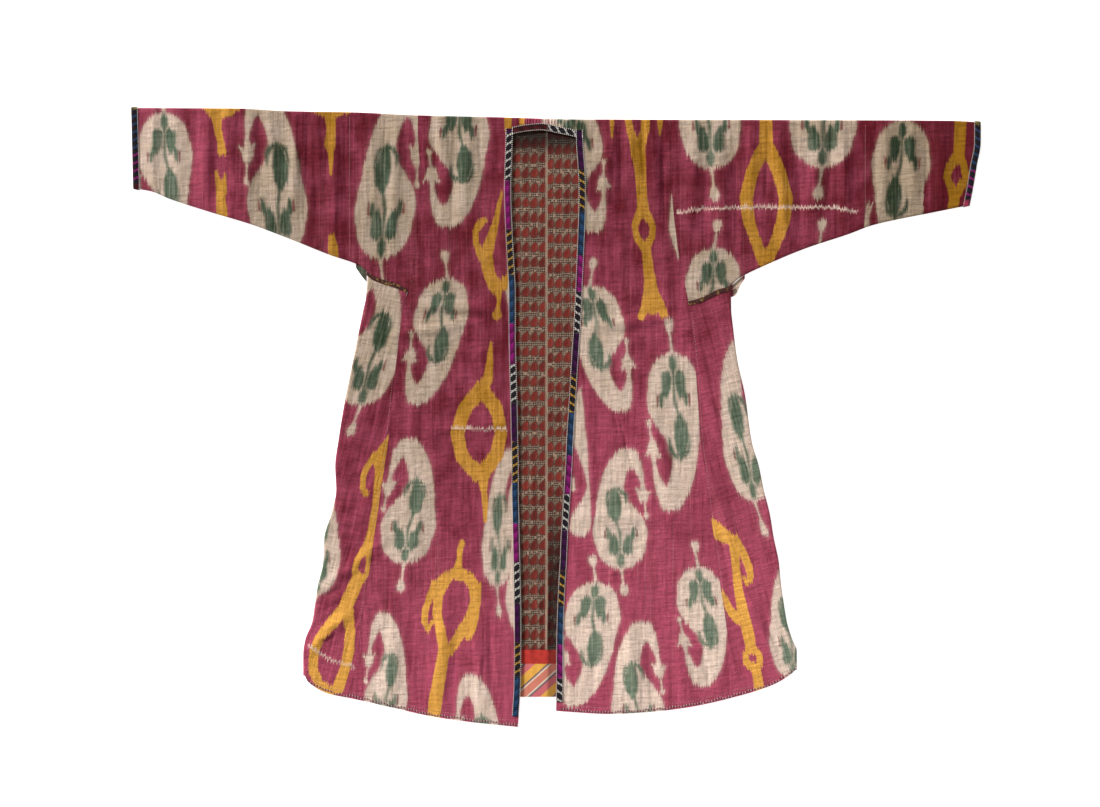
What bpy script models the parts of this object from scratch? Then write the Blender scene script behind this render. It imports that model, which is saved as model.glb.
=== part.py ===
"""Uzbek chapan robe of ikat, laid flat with its front up and both sleeves spread.

The robe lies on z = 0, with +Y towards its neck and its wearer's right side towards -X.
Its back rests on the surface and its two fronts lie on the back. Every length is in metres.
"""

from collections import namedtuple
import math

import bmesh
import bpy
from mathutils import Vector
import numpy as np

COLLECTION = "uzbek_chapan_robe"

# Thicknesses and seams
WALL = 0.003  # ikat face, wadding and lining quilted together
LAYER_GAP = 0.0016  # room between the back and a front, where the lining lies
LINING = 0.001
BRAID = 0.001
SEAM = 0.0003  # between two pieces that are sewn to each other
SLIT = 0.0015  # open underarm slit, between the sleeve and the gore
HEIGHT = 2 * WALL + LAYER_GAP
FOLD_RADIUS = HEIGHT / 2

# Widths of the trims
BRAID_WIDTH = 0.013
BRAID_BAND = 0.014  # flat strip of the panel that carries the braid
EDGING_WIDTH = 0.0035
LINING_MARGIN = 0.030  # how far the lining runs on under a front

# Places along the body
CENTRE = -0.018  # seam down the middle of the back
HEM_BEND = -0.410  # below this height the rows of the cloth follow the curved hem
HEM_ROW = -0.566  # height that stands for the hem in the tables below
BRAID_END = -0.550
NECK_ROW = 0.574
BRAID_ROW = 0.587  # the neck braid's upper edge
HEM_BAND_TOP = -0.466
FACING_TOP = -0.494
BACK_HEM = -0.560

# Spacing of the rows and columns of points
ROW_STEP = 0.034
BODY_COLUMNS = 9
GORE_COLUMNS = 5
SLEEVE_STEP = 0.0175
GATHER_STEP = 0.005
TURN_STEPS = 4
CUFF_ROWS = 6

Top = namedtuple("Top", "x y")
Section = namedtuple("Section", "y side seam edge")
Edge = namedtuple("Edge", "x y")
Cuff = namedtuple("Cuff", "y x")
Gusset = namedtuple("Gusset", "x low")
Fold = namedtuple("Fold", "x y reach half height turn")
Half = namedtuple("Half", "name out underarm strip_seam sections sleeve hem cuff gusset")

# The folded upper edge, from cuff to cuff
TOP_EDGE = tuple(
    Top(*row)
    for row in (
        (-0.850, 0.6187),
        (-0.632, 0.6175),
        (-0.532, 0.612),
        (-0.412, 0.610),
        (-0.276, 0.604),
        (-0.112, 0.600),
        (0.028, 0.596),
        (0.228, 0.595),
        (0.616, 0.594),
        (0.788, 0.593),
        (0.850, 0.590),
    )
)

# The edge of the back at the neck, brought forward over the fold
NECK_EDGE = tuple(
    Edge(*row)
    for row in (
        (-0.090, 0.566),
        (-0.056, 0.572),
        (-0.030, 0.574),
        (0.008, 0.567),
        (0.042, 0.560),
    )
)

RIGHT = Half(
    name="right",
    out=-1,
    underarm=0.250,
    strip_seam=-0.410,
    # height, folded side of the gore, seam of the body panel, front edge
    sections=tuple(
        Section(*row)
        for row in (
            (0.610, -0.376, -0.276, -0.087),
            (0.587, -0.376, -0.276, -0.087),
            (0.574, -0.376, -0.276, -0.087),
            (0.454, -0.376, -0.270, -0.090),
            (0.344, -0.376, -0.278, -0.086),
            (0.274, -0.376, -0.289, -0.082),
            (0.250, -0.376, -0.297, -0.081),
            (0.234, -0.381, -0.302, -0.081),
            (0.174, -0.394, -0.312, -0.081),
            (0.114, -0.406, -0.319, -0.080),
            (0.046, -0.420, -0.326, -0.078),
            (-0.050, -0.436, -0.336, -0.076),
            (-0.098, -0.442, -0.343, -0.075),
            (-0.146, -0.440, -0.350, -0.075),
            (-0.194, -0.450, -0.357, -0.074),
            (-0.242, -0.464, -0.364, -0.073),
            (-0.290, -0.466, -0.371, -0.072),
            (-0.338, -0.477, -0.378, -0.071),
            (-0.410, -0.488, -0.388, -0.070),
            (-0.458, -0.502, -0.395, -0.070),
            (-0.506, -0.506, -0.403, -0.071),
            (-0.566, -0.506, -0.410, -0.076),
        )
    ),
    # under edge of the sleeve, from the cuff to the armhole
    sleeve=tuple(
        Edge(*row)
        for row in (
            (-0.850, 0.458),
            (-0.812, 0.452),
            (-0.772, 0.436),
            (-0.692, 0.410),
            (-0.612, 0.386),
            (-0.532, 0.356),
            (-0.452, 0.324),
            (-0.396, 0.304),
            (-0.368, 0.280),
            (-0.304, 0.256),
            (-0.297, 0.250),
        )
    ),
    # lower edge of the front
    hem=tuple(
        Edge(*row)
        for row in (
            (-0.506, -0.508),
            (-0.496, -0.530),
            (-0.452, -0.554),
            (-0.408, -0.563),
            (-0.332, -0.580),
            (-0.252, -0.598),
            (-0.172, -0.610),
            (-0.076, -0.620),
        )
    ),
    cuff=tuple(Cuff(*row) for row in ((0.620, -0.850), (0.458, -0.846))),
    gusset=tuple(
        Gusset(*row)
        for row in ((-0.404, 0.3040), (-0.396, 0.2920), (-0.387, 0.2790), (-0.3790, 0.2700))
    ),
)

LEFT = Half(
    name="left",
    out=1,
    underarm=0.228,
    strip_seam=0.616,
    sections=tuple(
        Section(*row)
        for row in (
            (0.610, 0.350, 0.228, 0.040),
            (0.587, 0.350, 0.228, 0.040),
            (0.574, 0.350, 0.228, 0.040),
            (0.454, 0.350, 0.232, 0.046),
            (0.344, 0.350, 0.243, 0.043),
            (0.274, 0.350, 0.256, 0.040),
            (0.228, 0.350, 0.265, 0.038),
            (0.174, 0.355, 0.272, 0.035),
            (0.114, 0.363, 0.278, 0.031),
            (0.046, 0.378, 0.283, 0.027),
            (-0.050, 0.392, 0.290, 0.021),
            (-0.098, 0.406, 0.296, 0.019),
            (-0.146, 0.416, 0.302, 0.016),
            (-0.194, 0.428, 0.309, 0.013),
            (-0.242, 0.436, 0.316, 0.010),
            (-0.290, 0.446, 0.323, 0.008),
            (-0.338, 0.451, 0.329, 0.005),
            (-0.410, 0.462, 0.340, 0.002),
            (-0.458, 0.472, 0.346, 0.001),
            (-0.506, 0.482, 0.350, 0.001),
            (-0.566, 0.482, 0.354, 0.000),
        )
    ),
    sleeve=tuple(
        Edge(*row)
        for row in (
            (0.265, 0.228),
            (0.288, 0.234),
            (0.328, 0.252),
            (0.348, 0.258),
            (0.374, 0.278),
            (0.428, 0.304),
            (0.508, 0.338),
            (0.588, 0.366),
            (0.628, 0.382),
            (0.668, 0.392),
            (0.748, 0.408),
            (0.828, 0.424),
        )
    ),
    hem=tuple(
        Edge(*row)
        for row in (
            (0.000, -0.588),
            (0.108, -0.594),
            (0.188, -0.590),
            (0.268, -0.580),
            (0.354, -0.561),
            (0.428, -0.538),
            (0.468, -0.516),
            (0.482, -0.502),
        )
    ),
    cuff=tuple(
        Cuff(*row)
        for row in ((0.590, 0.850), (0.550, 0.850), (0.502, 0.842), (0.454, 0.834), (0.424, 0.828))
    ),
    gusset=tuple(
        Gusset(*row)
        for row in ((0.3510, 0.2400), (0.3600, 0.2440), (0.3670, 0.2600), (0.3780, 0.2775))
    ),
)

# The largest folds of the fronts and sleeves: middle, half length, half width, height,
# and how far each turns from the run of the warp, in degrees
MOST_FOLD = 0.0022
FOLDS = tuple(
    Fold(*row)
    for row in (
        (-0.806, 0.530, 0.10, 0.012, 0.0016, -3),
        (-0.758, 0.540, 0.11, 0.013, 0.0014, 2),
        (-0.700, 0.520, 0.13, 0.014, 0.0019, -4),
        (-0.655, 0.560, 0.08, 0.011, 0.0021, 3),
        (-0.618, 0.500, 0.14, 0.013, 0.0018, -2),
        (-0.566, 0.520, 0.12, 0.012, 0.0015, 4),
        (-0.522, 0.500, 0.15, 0.014, 0.0022, -3),
        (-0.478, 0.540, 0.10, 0.011, 0.0017, 2),
        (-0.440, 0.470, 0.17, 0.012, 0.0022, -2),
        (-0.372, 0.500, 0.12, 0.014, 0.0016, 3),
        (-0.322, 0.460, 0.16, 0.012, 0.0018, -3),
        (-0.228, 0.540, 0.10, 0.014, 0.0019, 5),
        (-0.180, 0.500, 0.12, 0.013, 0.0014, -4),
        (-0.200, 0.222, 0.13, 0.013, 0.0020, 84),
        (-0.250, 0.176, 0.09, 0.012, 0.0016, 98),
        (-0.190, -0.020, 0.12, 0.012, 0.0013, 93),
        (-0.280, -0.240, 0.16, 0.016, 0.0014, -12),
        (-0.230, -0.470, 0.13, 0.017, 0.0020, -6),
        (-0.330, -0.500, 0.10, 0.016, 0.0016, -9),
        (-0.150, -0.520, 0.10, 0.015, 0.0018, 3),
        (-0.410, -0.300, 0.10, 0.012, 0.0017, -52),
        (-0.455, -0.430, 0.07, 0.012, 0.0020, -48),
        (0.105, 0.520, 0.11, 0.013, 0.0018, -5),
        (0.150, 0.550, 0.08, 0.012, 0.0015, 4),
        (0.196, 0.500, 0.13, 0.014, 0.0019, 2),
        (0.275, 0.490, 0.14, 0.013, 0.0017, -3),
        (0.330, 0.470, 0.15, 0.014, 0.0020, 3),
        (0.392, 0.510, 0.12, 0.013, 0.0016, -2),
        (0.452, 0.460, 0.16, 0.014, 0.0022, 4),
        (0.520, 0.500, 0.13, 0.013, 0.0017, -4),
        (0.575, 0.480, 0.14, 0.012, 0.0019, 2),
        (0.655, 0.500, 0.12, 0.014, 0.0016, -3),
        (0.712, 0.520, 0.10, 0.012, 0.0019, 3),
        (0.768, 0.490, 0.11, 0.013, 0.0014, -2),
        (0.150, 0.190, 0.12, 0.012, 0.0015, 96),
        (0.210, -0.080, 0.13, 0.015, 0.0016, 12),
        (0.120, -0.200, 0.14, 0.013, 0.0013, 88),
        (0.150, -0.480, 0.12, 0.017, 0.0019, 4),
        (0.250, -0.500, 0.11, 0.016, 0.0017, 9),
        (0.330, -0.180, 0.13, 0.014, 0.0018, 18),
        (0.400, -0.400, 0.10, 0.014, 0.0016, 22),
    )
)
FADE = 0.030  # over this length a fold dies out towards a braid or a slit
GATHER_HEIGHT = 0.0008
GATHERS = Edge(-0.080, 0.036)  # from and to, across the back of the neck

# Colours, linear RGB, and how each finish shines
IKAT = ((0.330, 0.042, 0.110), 0.55)
PRINT = ((0.380, 0.280, 0.180), 0.80)
RED_COTTON = ((0.550, 0.035, 0.025), 0.80)
STRIPED_COTTON = ((0.620, 0.330, 0.110), 0.80)
SILK_BRAID = ((0.100, 0.020, 0.090), 0.60)
DARK_EDGING = ((0.050, 0.015, 0.015), 0.75)


def read(table, at, column):
    """The named column of a table at this place, straight between its rows."""
    rows = sorted(table)
    return float(np.interp(at, [row[0] for row in rows], [getattr(row, column) for row in rows]))


def blend(low, high, share):
    return low + (high - low) * share


def smooth(share):
    share = min(max(share, 0.0), 1.0)
    return share * share * (3 - 2 * share)


def fold_height(x, y):
    """How far the folds lift a front at x, y. They die out at the braids and the slits."""
    height = 0.0
    for fold in FOLDS:
        turn = math.radians(fold.turn)
        along = (y - fold.y) * math.cos(turn) - (x - fold.x) * math.sin(turn)
        across = (y - fold.y) * math.sin(turn) + (x - fold.x) * math.cos(turn)
        taper = max(0.0, 1 - (along / fold.reach) ** 2)
        height += fold.height * taper * math.exp(-((across / fold.half) ** 2))
    for half in (RIGHT, LEFT):
        from_edge = abs(x - read(half.sections, y, "edge")) - BRAID_BAND
        from_cuff = abs(x - read(half.cuff, y, "x")) - BRAID_BAND
        from_slit = abs(y - read(half.sleeve, x, "y")) - EDGING_WIDTH - SLIT
        height *= smooth(from_edge / FADE) * smooth(from_cuff / FADE)
        if abs(x) < abs(half.gusset[-1].x) and x * half.out > 0:
            height *= smooth(from_slit / FADE)
    return min(height, MOST_FOLD)


def gather_height(x, y):
    """The small gathers above the neck braid, which run over the fold."""
    braid_edge = read(NECK_EDGE, x, "y") + BRAID_ROW - NECK_ROW
    if not GATHERS.x < x < GATHERS.y or y < braid_edge + SEAM:
        return 0.0
    return GATHER_HEIGHT * (0.5 - 0.5 * math.cos(math.pi * (x - CENTRE) / GATHER_STEP))


def turned(x, y, outward, angle, depth):
    """A point of the front at x, y, turned by angle round a folded edge, so pi is the back.

    depth is measured outwards from the cloth's face, and the plain lining side is at -WALL.
    """
    top = WALL + LAYER_GAP + fold_height(x, y)
    if depth > -WALL:
        top += WALL + gather_height(x, y) + depth
    reach = (FOLD_RADIUS + depth) * math.sin(angle)
    height = blend(-depth, top, (1 + math.cos(angle)) / 2)
    return Vector((x + outward[0] * reach, y + outward[1] * reach, height))


def fold_angles():
    return [math.pi * step / TURN_STEPS for step in range(1, TURN_STEPS)]


def split(knots, longest):
    """The knots, with even steps put between those that lie further apart than longest."""
    rows = []
    for start, end in zip(knots, knots[1:]):
        steps = max(1, math.ceil(abs(end - start) / longest - 1e-6))
        rows += [blend(start, end, step / steps) for step in range(steps)]
    return [*rows, knots[-1]]


def wall(name, across, along, place, finish, missing=None):
    """A closed cloth wall from a grid of points. place(column, row, inner) gives each point,
    and missing(column, row) is true for the cells that are cut away."""
    mesh = bmesh.new()
    bmesh.ops.create_grid(mesh, x_segments=across - 1, y_segments=along - 1, size=0.5)
    column = mesh.verts.layers.int.new("column")
    row = mesh.verts.layers.int.new("row")
    for vertex in mesh.verts:
        vertex[column] = round((vertex.co.x + 0.5) * (across - 1))
        vertex[row] = round((vertex.co.y + 0.5) * (along - 1))
    if missing:
        cut = [
            face
            for face in mesh.faces
            if missing(min(v[column] for v in face.verts), min(v[row] for v in face.verts))
        ]
        bmesh.ops.delete(mesh, geom=cut, context="FACES")
    grown = bmesh.ops.extrude_face_region(mesh, geom=mesh.faces[:])
    inner = {item for item in grown["geom"] if isinstance(item, bmesh.types.BMVert)}
    for vertex in mesh.verts:
        vertex.co = place(vertex[column], vertex[row], vertex in inner)
    bmesh.ops.recalc_face_normals(mesh, faces=mesh.faces[:])
    if mesh.calc_volume(signed=True) < 0:
        bmesh.ops.reverse_faces(mesh, faces=mesh.faces[:])
    return add_piece(name, mesh, finish)


def add_piece(name, mesh, finish):
    """Turns a finished bmesh into a named object with its own material."""
    data = bpy.data.meshes.new(name)
    mesh.to_mesh(data)
    mesh.free()
    piece = bpy.data.objects.new(name, data)
    bpy.data.collections[COLLECTION].objects.link(piece)
    colour, roughness = finish
    material = bpy.data.materials.new(name)
    material.use_nodes = True
    shader = material.node_tree.nodes["Principled BSDF"]
    shader.inputs["Base Color"].default_value = (*colour, 1.0)
    shader.inputs["Roughness"].default_value = roughness
    shader.inputs["Metallic"].default_value = 0.0
    data.materials.append(material)
    data.shade_smooth()
    data.set_sharp_from_angle(angle=math.radians(40))
    return piece


def row_height(half, nominal, x, hem=None):
    """The height of a row of the body at x. The lowest rows bend until they meet the hem."""
    if nominal >= HEM_BEND:
        return nominal
    share = (nominal - HEM_BEND) / (HEM_ROW - HEM_BEND)
    return blend(HEM_BEND, read(half.hem, x, "y") if hem is None else hem, share)


def body_rows(half):
    """Nominal heights of the front's rows, from the hem up."""
    knots = sorted({row.y for row in half.sections[1:]} | {BRAID_END})
    return split(knots, ROW_STEP)


def body_columns(half, nominal, edge_nominal):
    """The x of each column of a body panel in one row, from its outer seam to the back seam."""
    seam = read(half.sections, nominal, "seam") - half.out * SEAM / 2
    edge = read(half.sections, edge_nominal, "edge")
    band = edge + half.out * BRAID_BAND
    centre = CENTRE + half.out * SEAM / 2
    start = read(half.sections, NECK_ROW, "edge")
    steps = round(abs(centre - start) / GATHER_STEP)
    panel = [blend(seam, band, step / BODY_COLUMNS) for step in range(BODY_COLUMNS + 1)]
    neck = [blend(start, centre, step / steps) for step in range(1, steps + 1)]
    return [*panel, edge, *neck]


def body_panel(half):
    """One length of ikat from the front hem over the shoulder to the back hem."""
    front = body_rows(half)
    rows = [("front", y) for y in front]
    rows += [("top", angle) for angle in (0.0, *fold_angles(), math.pi)]
    rows += [("back", row.y) for row in half.sections[2:]]
    edge_column = BODY_COLUMNS + 1
    neck_row = front.index(NECK_ROW)

    def place(column, row, inner):
        kind, at = rows[row]
        depth = -WALL if inner else 0.0
        if kind == "top":
            x = body_columns(half, NECK_ROW, NECK_ROW)[column]
            y = read(TOP_EDGE, x, "y") - FOLD_RADIUS
            x = body_columns(half, y, NECK_ROW)[column]
            return turned(x, y, (0, 1), at, depth)
        if kind == "back":
            columns = body_columns(half, at, NECK_ROW)
            x = columns[column]
            share = (x - columns[0]) / (columns[-1] - columns[0])
            hem = blend(read(half.hem, columns[0], "y"), BACK_HEM, share)
            return turned(x, row_height(half, at, x, hem), (0, 1), math.pi, depth)
        x = body_columns(half, at, at)[column]
        y = row_height(half, at, x)
        if at >= NECK_ROW:
            lift = read(NECK_EDGE, x, "y") - NECK_ROW
            y += lift * min(column / edge_column, 1.0) ** 2
        return turned(x, y, (0, 1), 0.0, depth)

    across = len(body_columns(half, NECK_ROW, NECK_ROW))
    wall(
        f"body_{half.name}",
        across,
        len(rows),
        place,
        IKAT,
        missing=lambda column, row: column >= edge_column and row < neck_row,
    )


def gore(half):
    """A gore from its front seam round the folded side of the robe to its back seam."""
    below = [y for y in reversed(body_rows(half)) if y < half.underarm]
    rows = [("top", 0.0), ("top", EDGING_WIDTH)] + [("body", y) for y in below]
    front = [("front", step / GORE_COLUMNS) for step in range(GORE_COLUMNS + 1)]
    side = [("side", angle) for angle in fold_angles()]
    back = [("back", share) for share in (1.0, 0.5, 0.0)]
    columns = front + side + back

    def place(column, row, inner):
        kind, at = columns[column]
        share = 1.0 if kind == "side" else at
        angle = {"front": 0.0, "side": at, "back": math.pi}[kind]
        x, y = gore_point(half, rows[row], share)
        return turned(x, y, (half.out, 0), angle, -WALL if inner else 0.0)

    wall(f"gore_{half.name}", len(columns), len(rows), place, IKAT)

    def place_edging(column, row, inner):
        x, y = gore_point(half, rows[row], column / GORE_COLUMNS)
        return turned(x, y, (half.out, 0), 0.0, SEAM if inner else SEAM + BRAID)

    wall(f"slit_edging_{half.name}", GORE_COLUMNS + 1, 2, place_edging, DARK_EDGING)


def gore_point(half, row, share):
    """x and y of a gore at this share of the way from its seam to the start of its side fold."""
    kind, at = row
    nominal = at
    if kind == "top":
        corner = read(half.sections, half.underarm, "seam")
        nominal = read(half.sleeve, corner, "y") - SLIT - at
    seam = read(half.sections, nominal, "seam") + half.out * SEAM / 2
    side = read(half.sections, nominal, "side") - half.out * FOLD_RADIUS
    x = blend(seam, side, share)
    if kind == "top":
        return x, read(half.sleeve, x, "y") - SLIT - at
    return x, row_height(half, at, x)


def sleeve_strip(name, half, start, end, at_cuff, heights, back_heights):
    """One loom width of a sleeve, as a flattened tube that is closed by the seam under the arm.

    start(y) and end(y) are the seams or the cuff that it runs between. heights are the places
    of the front's rows, from 0 at the folded top to 1 at the under edge, and back_heights are
    those of the back's.
    """
    top = read(TOP_EDGE, 0.0, "y")
    count = round(abs(end(top) - start(top)) / SLEEVE_STEP)

    def across(y, column):
        if not at_cuff:
            return blend(start(y), end(y), column / count)
        band = end(y) - half.out * BRAID_BAND
        if column > count - 1:
            return blend(band, end(y), column - (count - 1))
        return blend(start(y), band, column / (count - 1))

    rows = [("low", math.pi / 2), ("low", math.pi / 4)]
    rows += [("front", share) for share in reversed(heights)]
    rows += [("top", angle) for angle in fold_angles()]
    rows += [("back", share) for share in back_heights]
    rows += [("low", 3 * math.pi / 4), ("low", math.pi / 2)]

    def base(column, share):
        top_y = read(TOP_EDGE, across(top, column), "y") - FOLD_RADIUS
        low_y = read(half.sleeve, across(half.underarm, column), "y") + FOLD_RADIUS
        y = blend(top_y, low_y, share)
        return across(y, column), y

    def place(column, row, inner):
        kind, at = rows[row]
        depth = -WALL if inner else 0.0
        if kind in ("front", "back"):
            x, y = base(column, at)
            return turned(x, y, (0, 1), 0.0 if kind == "front" else math.pi, depth)
        y = base(column, 1.0 if kind == "low" else 0.0)[1]
        way = -1 if kind == "low" else 1
        x = across(y + way * (FOLD_RADIUS + depth) * math.sin(at), column)
        point = turned(x, y, (0, way), at, depth)
        if row == 0:
            point.z += SEAM / 2
        if row == len(rows) - 1:
            point.z -= SEAM / 2
        return point

    wall(name, count + 1, len(rows), place, IKAT)
    if not at_cuff:
        return

    def place_braid(side, row, inner):
        kind, at = rows[row + 1]
        depth = SEAM if inner else SEAM + BRAID
        column = count - (BRAID_WIDTH if side == 0 else SEAM) / BRAID_BAND
        share = {"front": at, "low": 1.0, "top": 0.0}[kind]
        way = {"front": 0, "low": -1, "top": 1}[kind]
        y = base(column, share)[1]
        x = across(y + way * (FOLD_RADIUS + depth) * math.sin(at), column)
        return turned(x, y, (0, way), 0.0 if kind == "front" else at, depth)

    braid_rows = len(heights) + 1 + TURN_STEPS // 2
    wall(f"cuff_braid_{half.name}", 2, braid_rows, place_braid, SILK_BRAID)


def sleeve(half):
    """The two loom widths of a sleeve: the upper one at the armhole, the lower at the cuff."""
    armhole = read(half.sections, NECK_ROW, "seam")
    top = read(TOP_EDGE, armhole, "y") - FOLD_RADIUS
    low = half.underarm + FOLD_RADIUS
    knots = [row.y for row in half.sections if half.underarm < row.y <= NECK_ROW]
    knots = [(top - y) / (top - low) for y in (top, *knots, low)]
    upper = split(knots, 2 * ROW_STEP / (top - low))
    lower = [step / CUFF_ROWS for step in range(CUFF_ROWS + 1)]
    gap = half.out * SEAM / 2

    def at_armhole(y):
        return read(half.sections, y, "seam") + gap

    def before_seam(_):
        return half.strip_seam - gap

    def after_seam(_):
        return half.strip_seam + gap

    def at_cuff(y):
        return read(half.cuff, y, "x")

    name = f"sleeve_upper_{half.name}"
    sleeve_strip(name, half, at_armhole, before_seam, False, upper, knots)
    name = f"sleeve_lower_{half.name}"
    sleeve_strip(name, half, after_seam, at_cuff, True, lower, lower[::3])


def front_braid(half):
    """The braid down a front edge, made from the points of the panel's flat border."""
    rows = [y for y in body_rows(half) if y >= BRAID_END]

    def place(column, row, inner):
        x = read(half.sections, rows[row], "edge")
        y = row_height(half, rows[row], x)
        if rows[row] >= NECK_ROW:
            y += read(NECK_EDGE, x, "y") - NECK_ROW
        x += half.out * (BRAID_WIDTH if column == 0 else SEAM)
        return turned(x, y, (0, 1), 0.0, SEAM if inner else SEAM + BRAID)

    wall(f"front_braid_{half.name}", 2, len(rows), place, SILK_BRAID)


def neck_braid():
    """The braid round the back of the neck, between the two front braids."""
    start = read(RIGHT.sections, NECK_ROW, "edge") + SEAM
    end = read(LEFT.sections, NECK_ROW, "edge") - SEAM
    steps = round((end - start) / (2 * GATHER_STEP))

    def place(column, row, inner):
        x = blend(start, end, column / steps)
        y = read(NECK_EDGE, x, "y") + (SEAM if row == 0 else BRAID_ROW - NECK_ROW - SEAM)
        return turned(x, y, (0, 1), 0.0, SEAM if inner else SEAM + BRAID)

    wall("neck_braid", steps + 1, 2, place, SILK_BRAID)


def flat_piece(name, columns, rows, thickness, base, finish):
    """A level wall between z = base and base + thickness. columns(y) gives its x places."""

    def place(column, row, inner):
        y = rows[row]
        return Vector((columns(y)[column], y, base if inner else base + thickness))

    wall(name, len(columns(rows[0])), len(rows), place, finish)


def lining(half):
    """Half of the printed lining, seen on the back's inner side between the fronts."""
    rows = [row.y for row in half.sections[1:] if row.y > HEM_BAND_TOP + SEAM]
    rows += [HEM_BAND_TOP + SEAM]

    def columns(y):
        under_front = read(half.sections, y, "edge") + half.out * LINING_MARGIN
        return under_front, CENTRE + half.out * SEAM / 2

    flat_piece(f"lining_{half.name}", columns, rows, LINING, WALL + SEAM, PRINT)


def hem_facings():
    """The red band and the striped facing that finish the inside of the back's hem."""

    def columns(y):
        start = read(RIGHT.sections, y, "edge") - LINING_MARGIN
        return start, CENTRE, read(LEFT.sections, y, "edge") + LINING_MARGIN

    band = [HEM_BAND_TOP, FACING_TOP + SEAM]
    facing = [FACING_TOP, BACK_HEM]
    flat_piece("hem_band", columns, band, LINING, WALL + SEAM, RED_COTTON)
    flat_piece("hem_facing", columns, facing, LINING, WALL + SEAM, STRIPED_COTTON)


def gusset(half):
    """The corner of the underarm gusset that shows past the sleeve, on the back's level."""

    def place(column, row, inner):
        x, low = half.gusset[column]
        y = low if row == 0 else read(half.sleeve, x, "y") - SLIT / 2
        return Vector((x, y, WALL if inner else 0.0))

    wall(f"gusset_{half.name}", len(half.gusset), 2, place, IKAT)


def main():
    for thing in list(bpy.data.objects):
        bpy.data.objects.remove(thing)
    bpy.context.scene.collection.children.link(bpy.data.collections.new(COLLECTION))
    for half in (RIGHT, LEFT):
        body_panel(half)
        gore(half)
        sleeve(half)
        front_braid(half)
        lining(half)
        gusset(half)
    neck_braid()
    hem_facings()


main()
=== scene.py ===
"""The looks of an Uzbek chapan robe of ikat, laid flat with its front up.

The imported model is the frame. Every length is in metres, +Y is towards the neck and the
wearer's right is towards -X. The cloth's pieces are made anew on the forms of their solids,
with finer folds, a tied and dyed pattern, printed lining, braids and stitches.
"""

from collections import namedtuple
import math

import bmesh
import bpy
from mathutils import Matrix, Vector
import numpy as np


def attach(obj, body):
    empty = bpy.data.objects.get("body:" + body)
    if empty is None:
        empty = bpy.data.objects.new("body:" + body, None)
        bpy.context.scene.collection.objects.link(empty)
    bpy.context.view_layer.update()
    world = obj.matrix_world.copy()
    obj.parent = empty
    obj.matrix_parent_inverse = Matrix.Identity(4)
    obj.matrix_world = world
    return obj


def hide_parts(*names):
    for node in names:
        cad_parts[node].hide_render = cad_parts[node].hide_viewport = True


bl_info = {
    "name": "Uzbek chapan robe",
    "version": (1, 0, 0),
    "blender": (4, 5, 0),
    "location": "3D View > Sidebar > Robe",
    "description": "Dresses the laid-out robe in ikat, print, braid and stitches",
    "category": "Object",
}

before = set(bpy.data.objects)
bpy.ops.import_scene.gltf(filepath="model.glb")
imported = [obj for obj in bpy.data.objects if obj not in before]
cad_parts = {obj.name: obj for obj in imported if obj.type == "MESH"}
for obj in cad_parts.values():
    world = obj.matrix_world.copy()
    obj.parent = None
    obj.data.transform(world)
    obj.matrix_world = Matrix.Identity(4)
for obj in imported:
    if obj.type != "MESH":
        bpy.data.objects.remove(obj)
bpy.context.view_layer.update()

# Thicknesses and seams, as in the solids
WALL = 0.003
LAYER_GAP = 0.0016
LINING = 0.001
BRAID = 0.001
SEAM = 0.0003
SLIT = 0.0015
HEIGHT = 2 * WALL + LAYER_GAP
FOLD_RADIUS = HEIGHT / 2

# Widths of the trims
BRAID_WIDTH = 0.013
BRAID_BAND = 0.014
EDGING_WIDTH = 0.0035
EDGING_LAP = 0.0036
EDGING_CUT = 0.0105
EDGING_REACH = 1.08
GUSSET_LAP = 0.0035
LINING_MARGIN = 0.030
CUFF_WIDE = 0.165

# Places along the body
CENTRE = -0.018
HEM_BEND = -0.410
HEM_ROW = -0.566
BRAID_END = -0.550
NECK_ROW = 0.574
BRAID_ROW = 0.587
HEM_BAND_TOP = -0.466
FACING_TOP = -0.494
BACK_HEM = -0.560
ROW_STEP = 0.034

Top = namedtuple("Top", "x y")
Section = namedtuple("Section", "y side seam edge")
Edge = namedtuple("Edge", "x y")
Cuff = namedtuple("Cuff", "y x")
Gusset = namedtuple("Gusset", "x low")
Fold = namedtuple("Fold", "x y reach half height turn")
Half = namedtuple("Half", "name out underarm strip_seam sections sleeve hem cuff gusset")


def table(kind, *rows):
    return tuple(kind(*row) for row in rows)


# The folded upper edge, from cuff to cuff
TOP_EDGE = table(
    Top,
    (-0.850, 0.6187),
    (-0.632, 0.6175),
    (-0.532, 0.612),
    (-0.412, 0.610),
    (-0.276, 0.604),
    (-0.112, 0.600),
    (0.028, 0.596),
    (0.228, 0.595),
    (0.616, 0.594),
    (0.788, 0.593),
    (0.850, 0.590),
)

# The edge of the back at the neck, brought forward over the fold
NECK_EDGE = table(
    Edge,
    (-0.090, 0.566),
    (-0.056, 0.572),
    (-0.030, 0.574),
    (0.008, 0.567),
    (0.042, 0.560),
)

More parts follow.
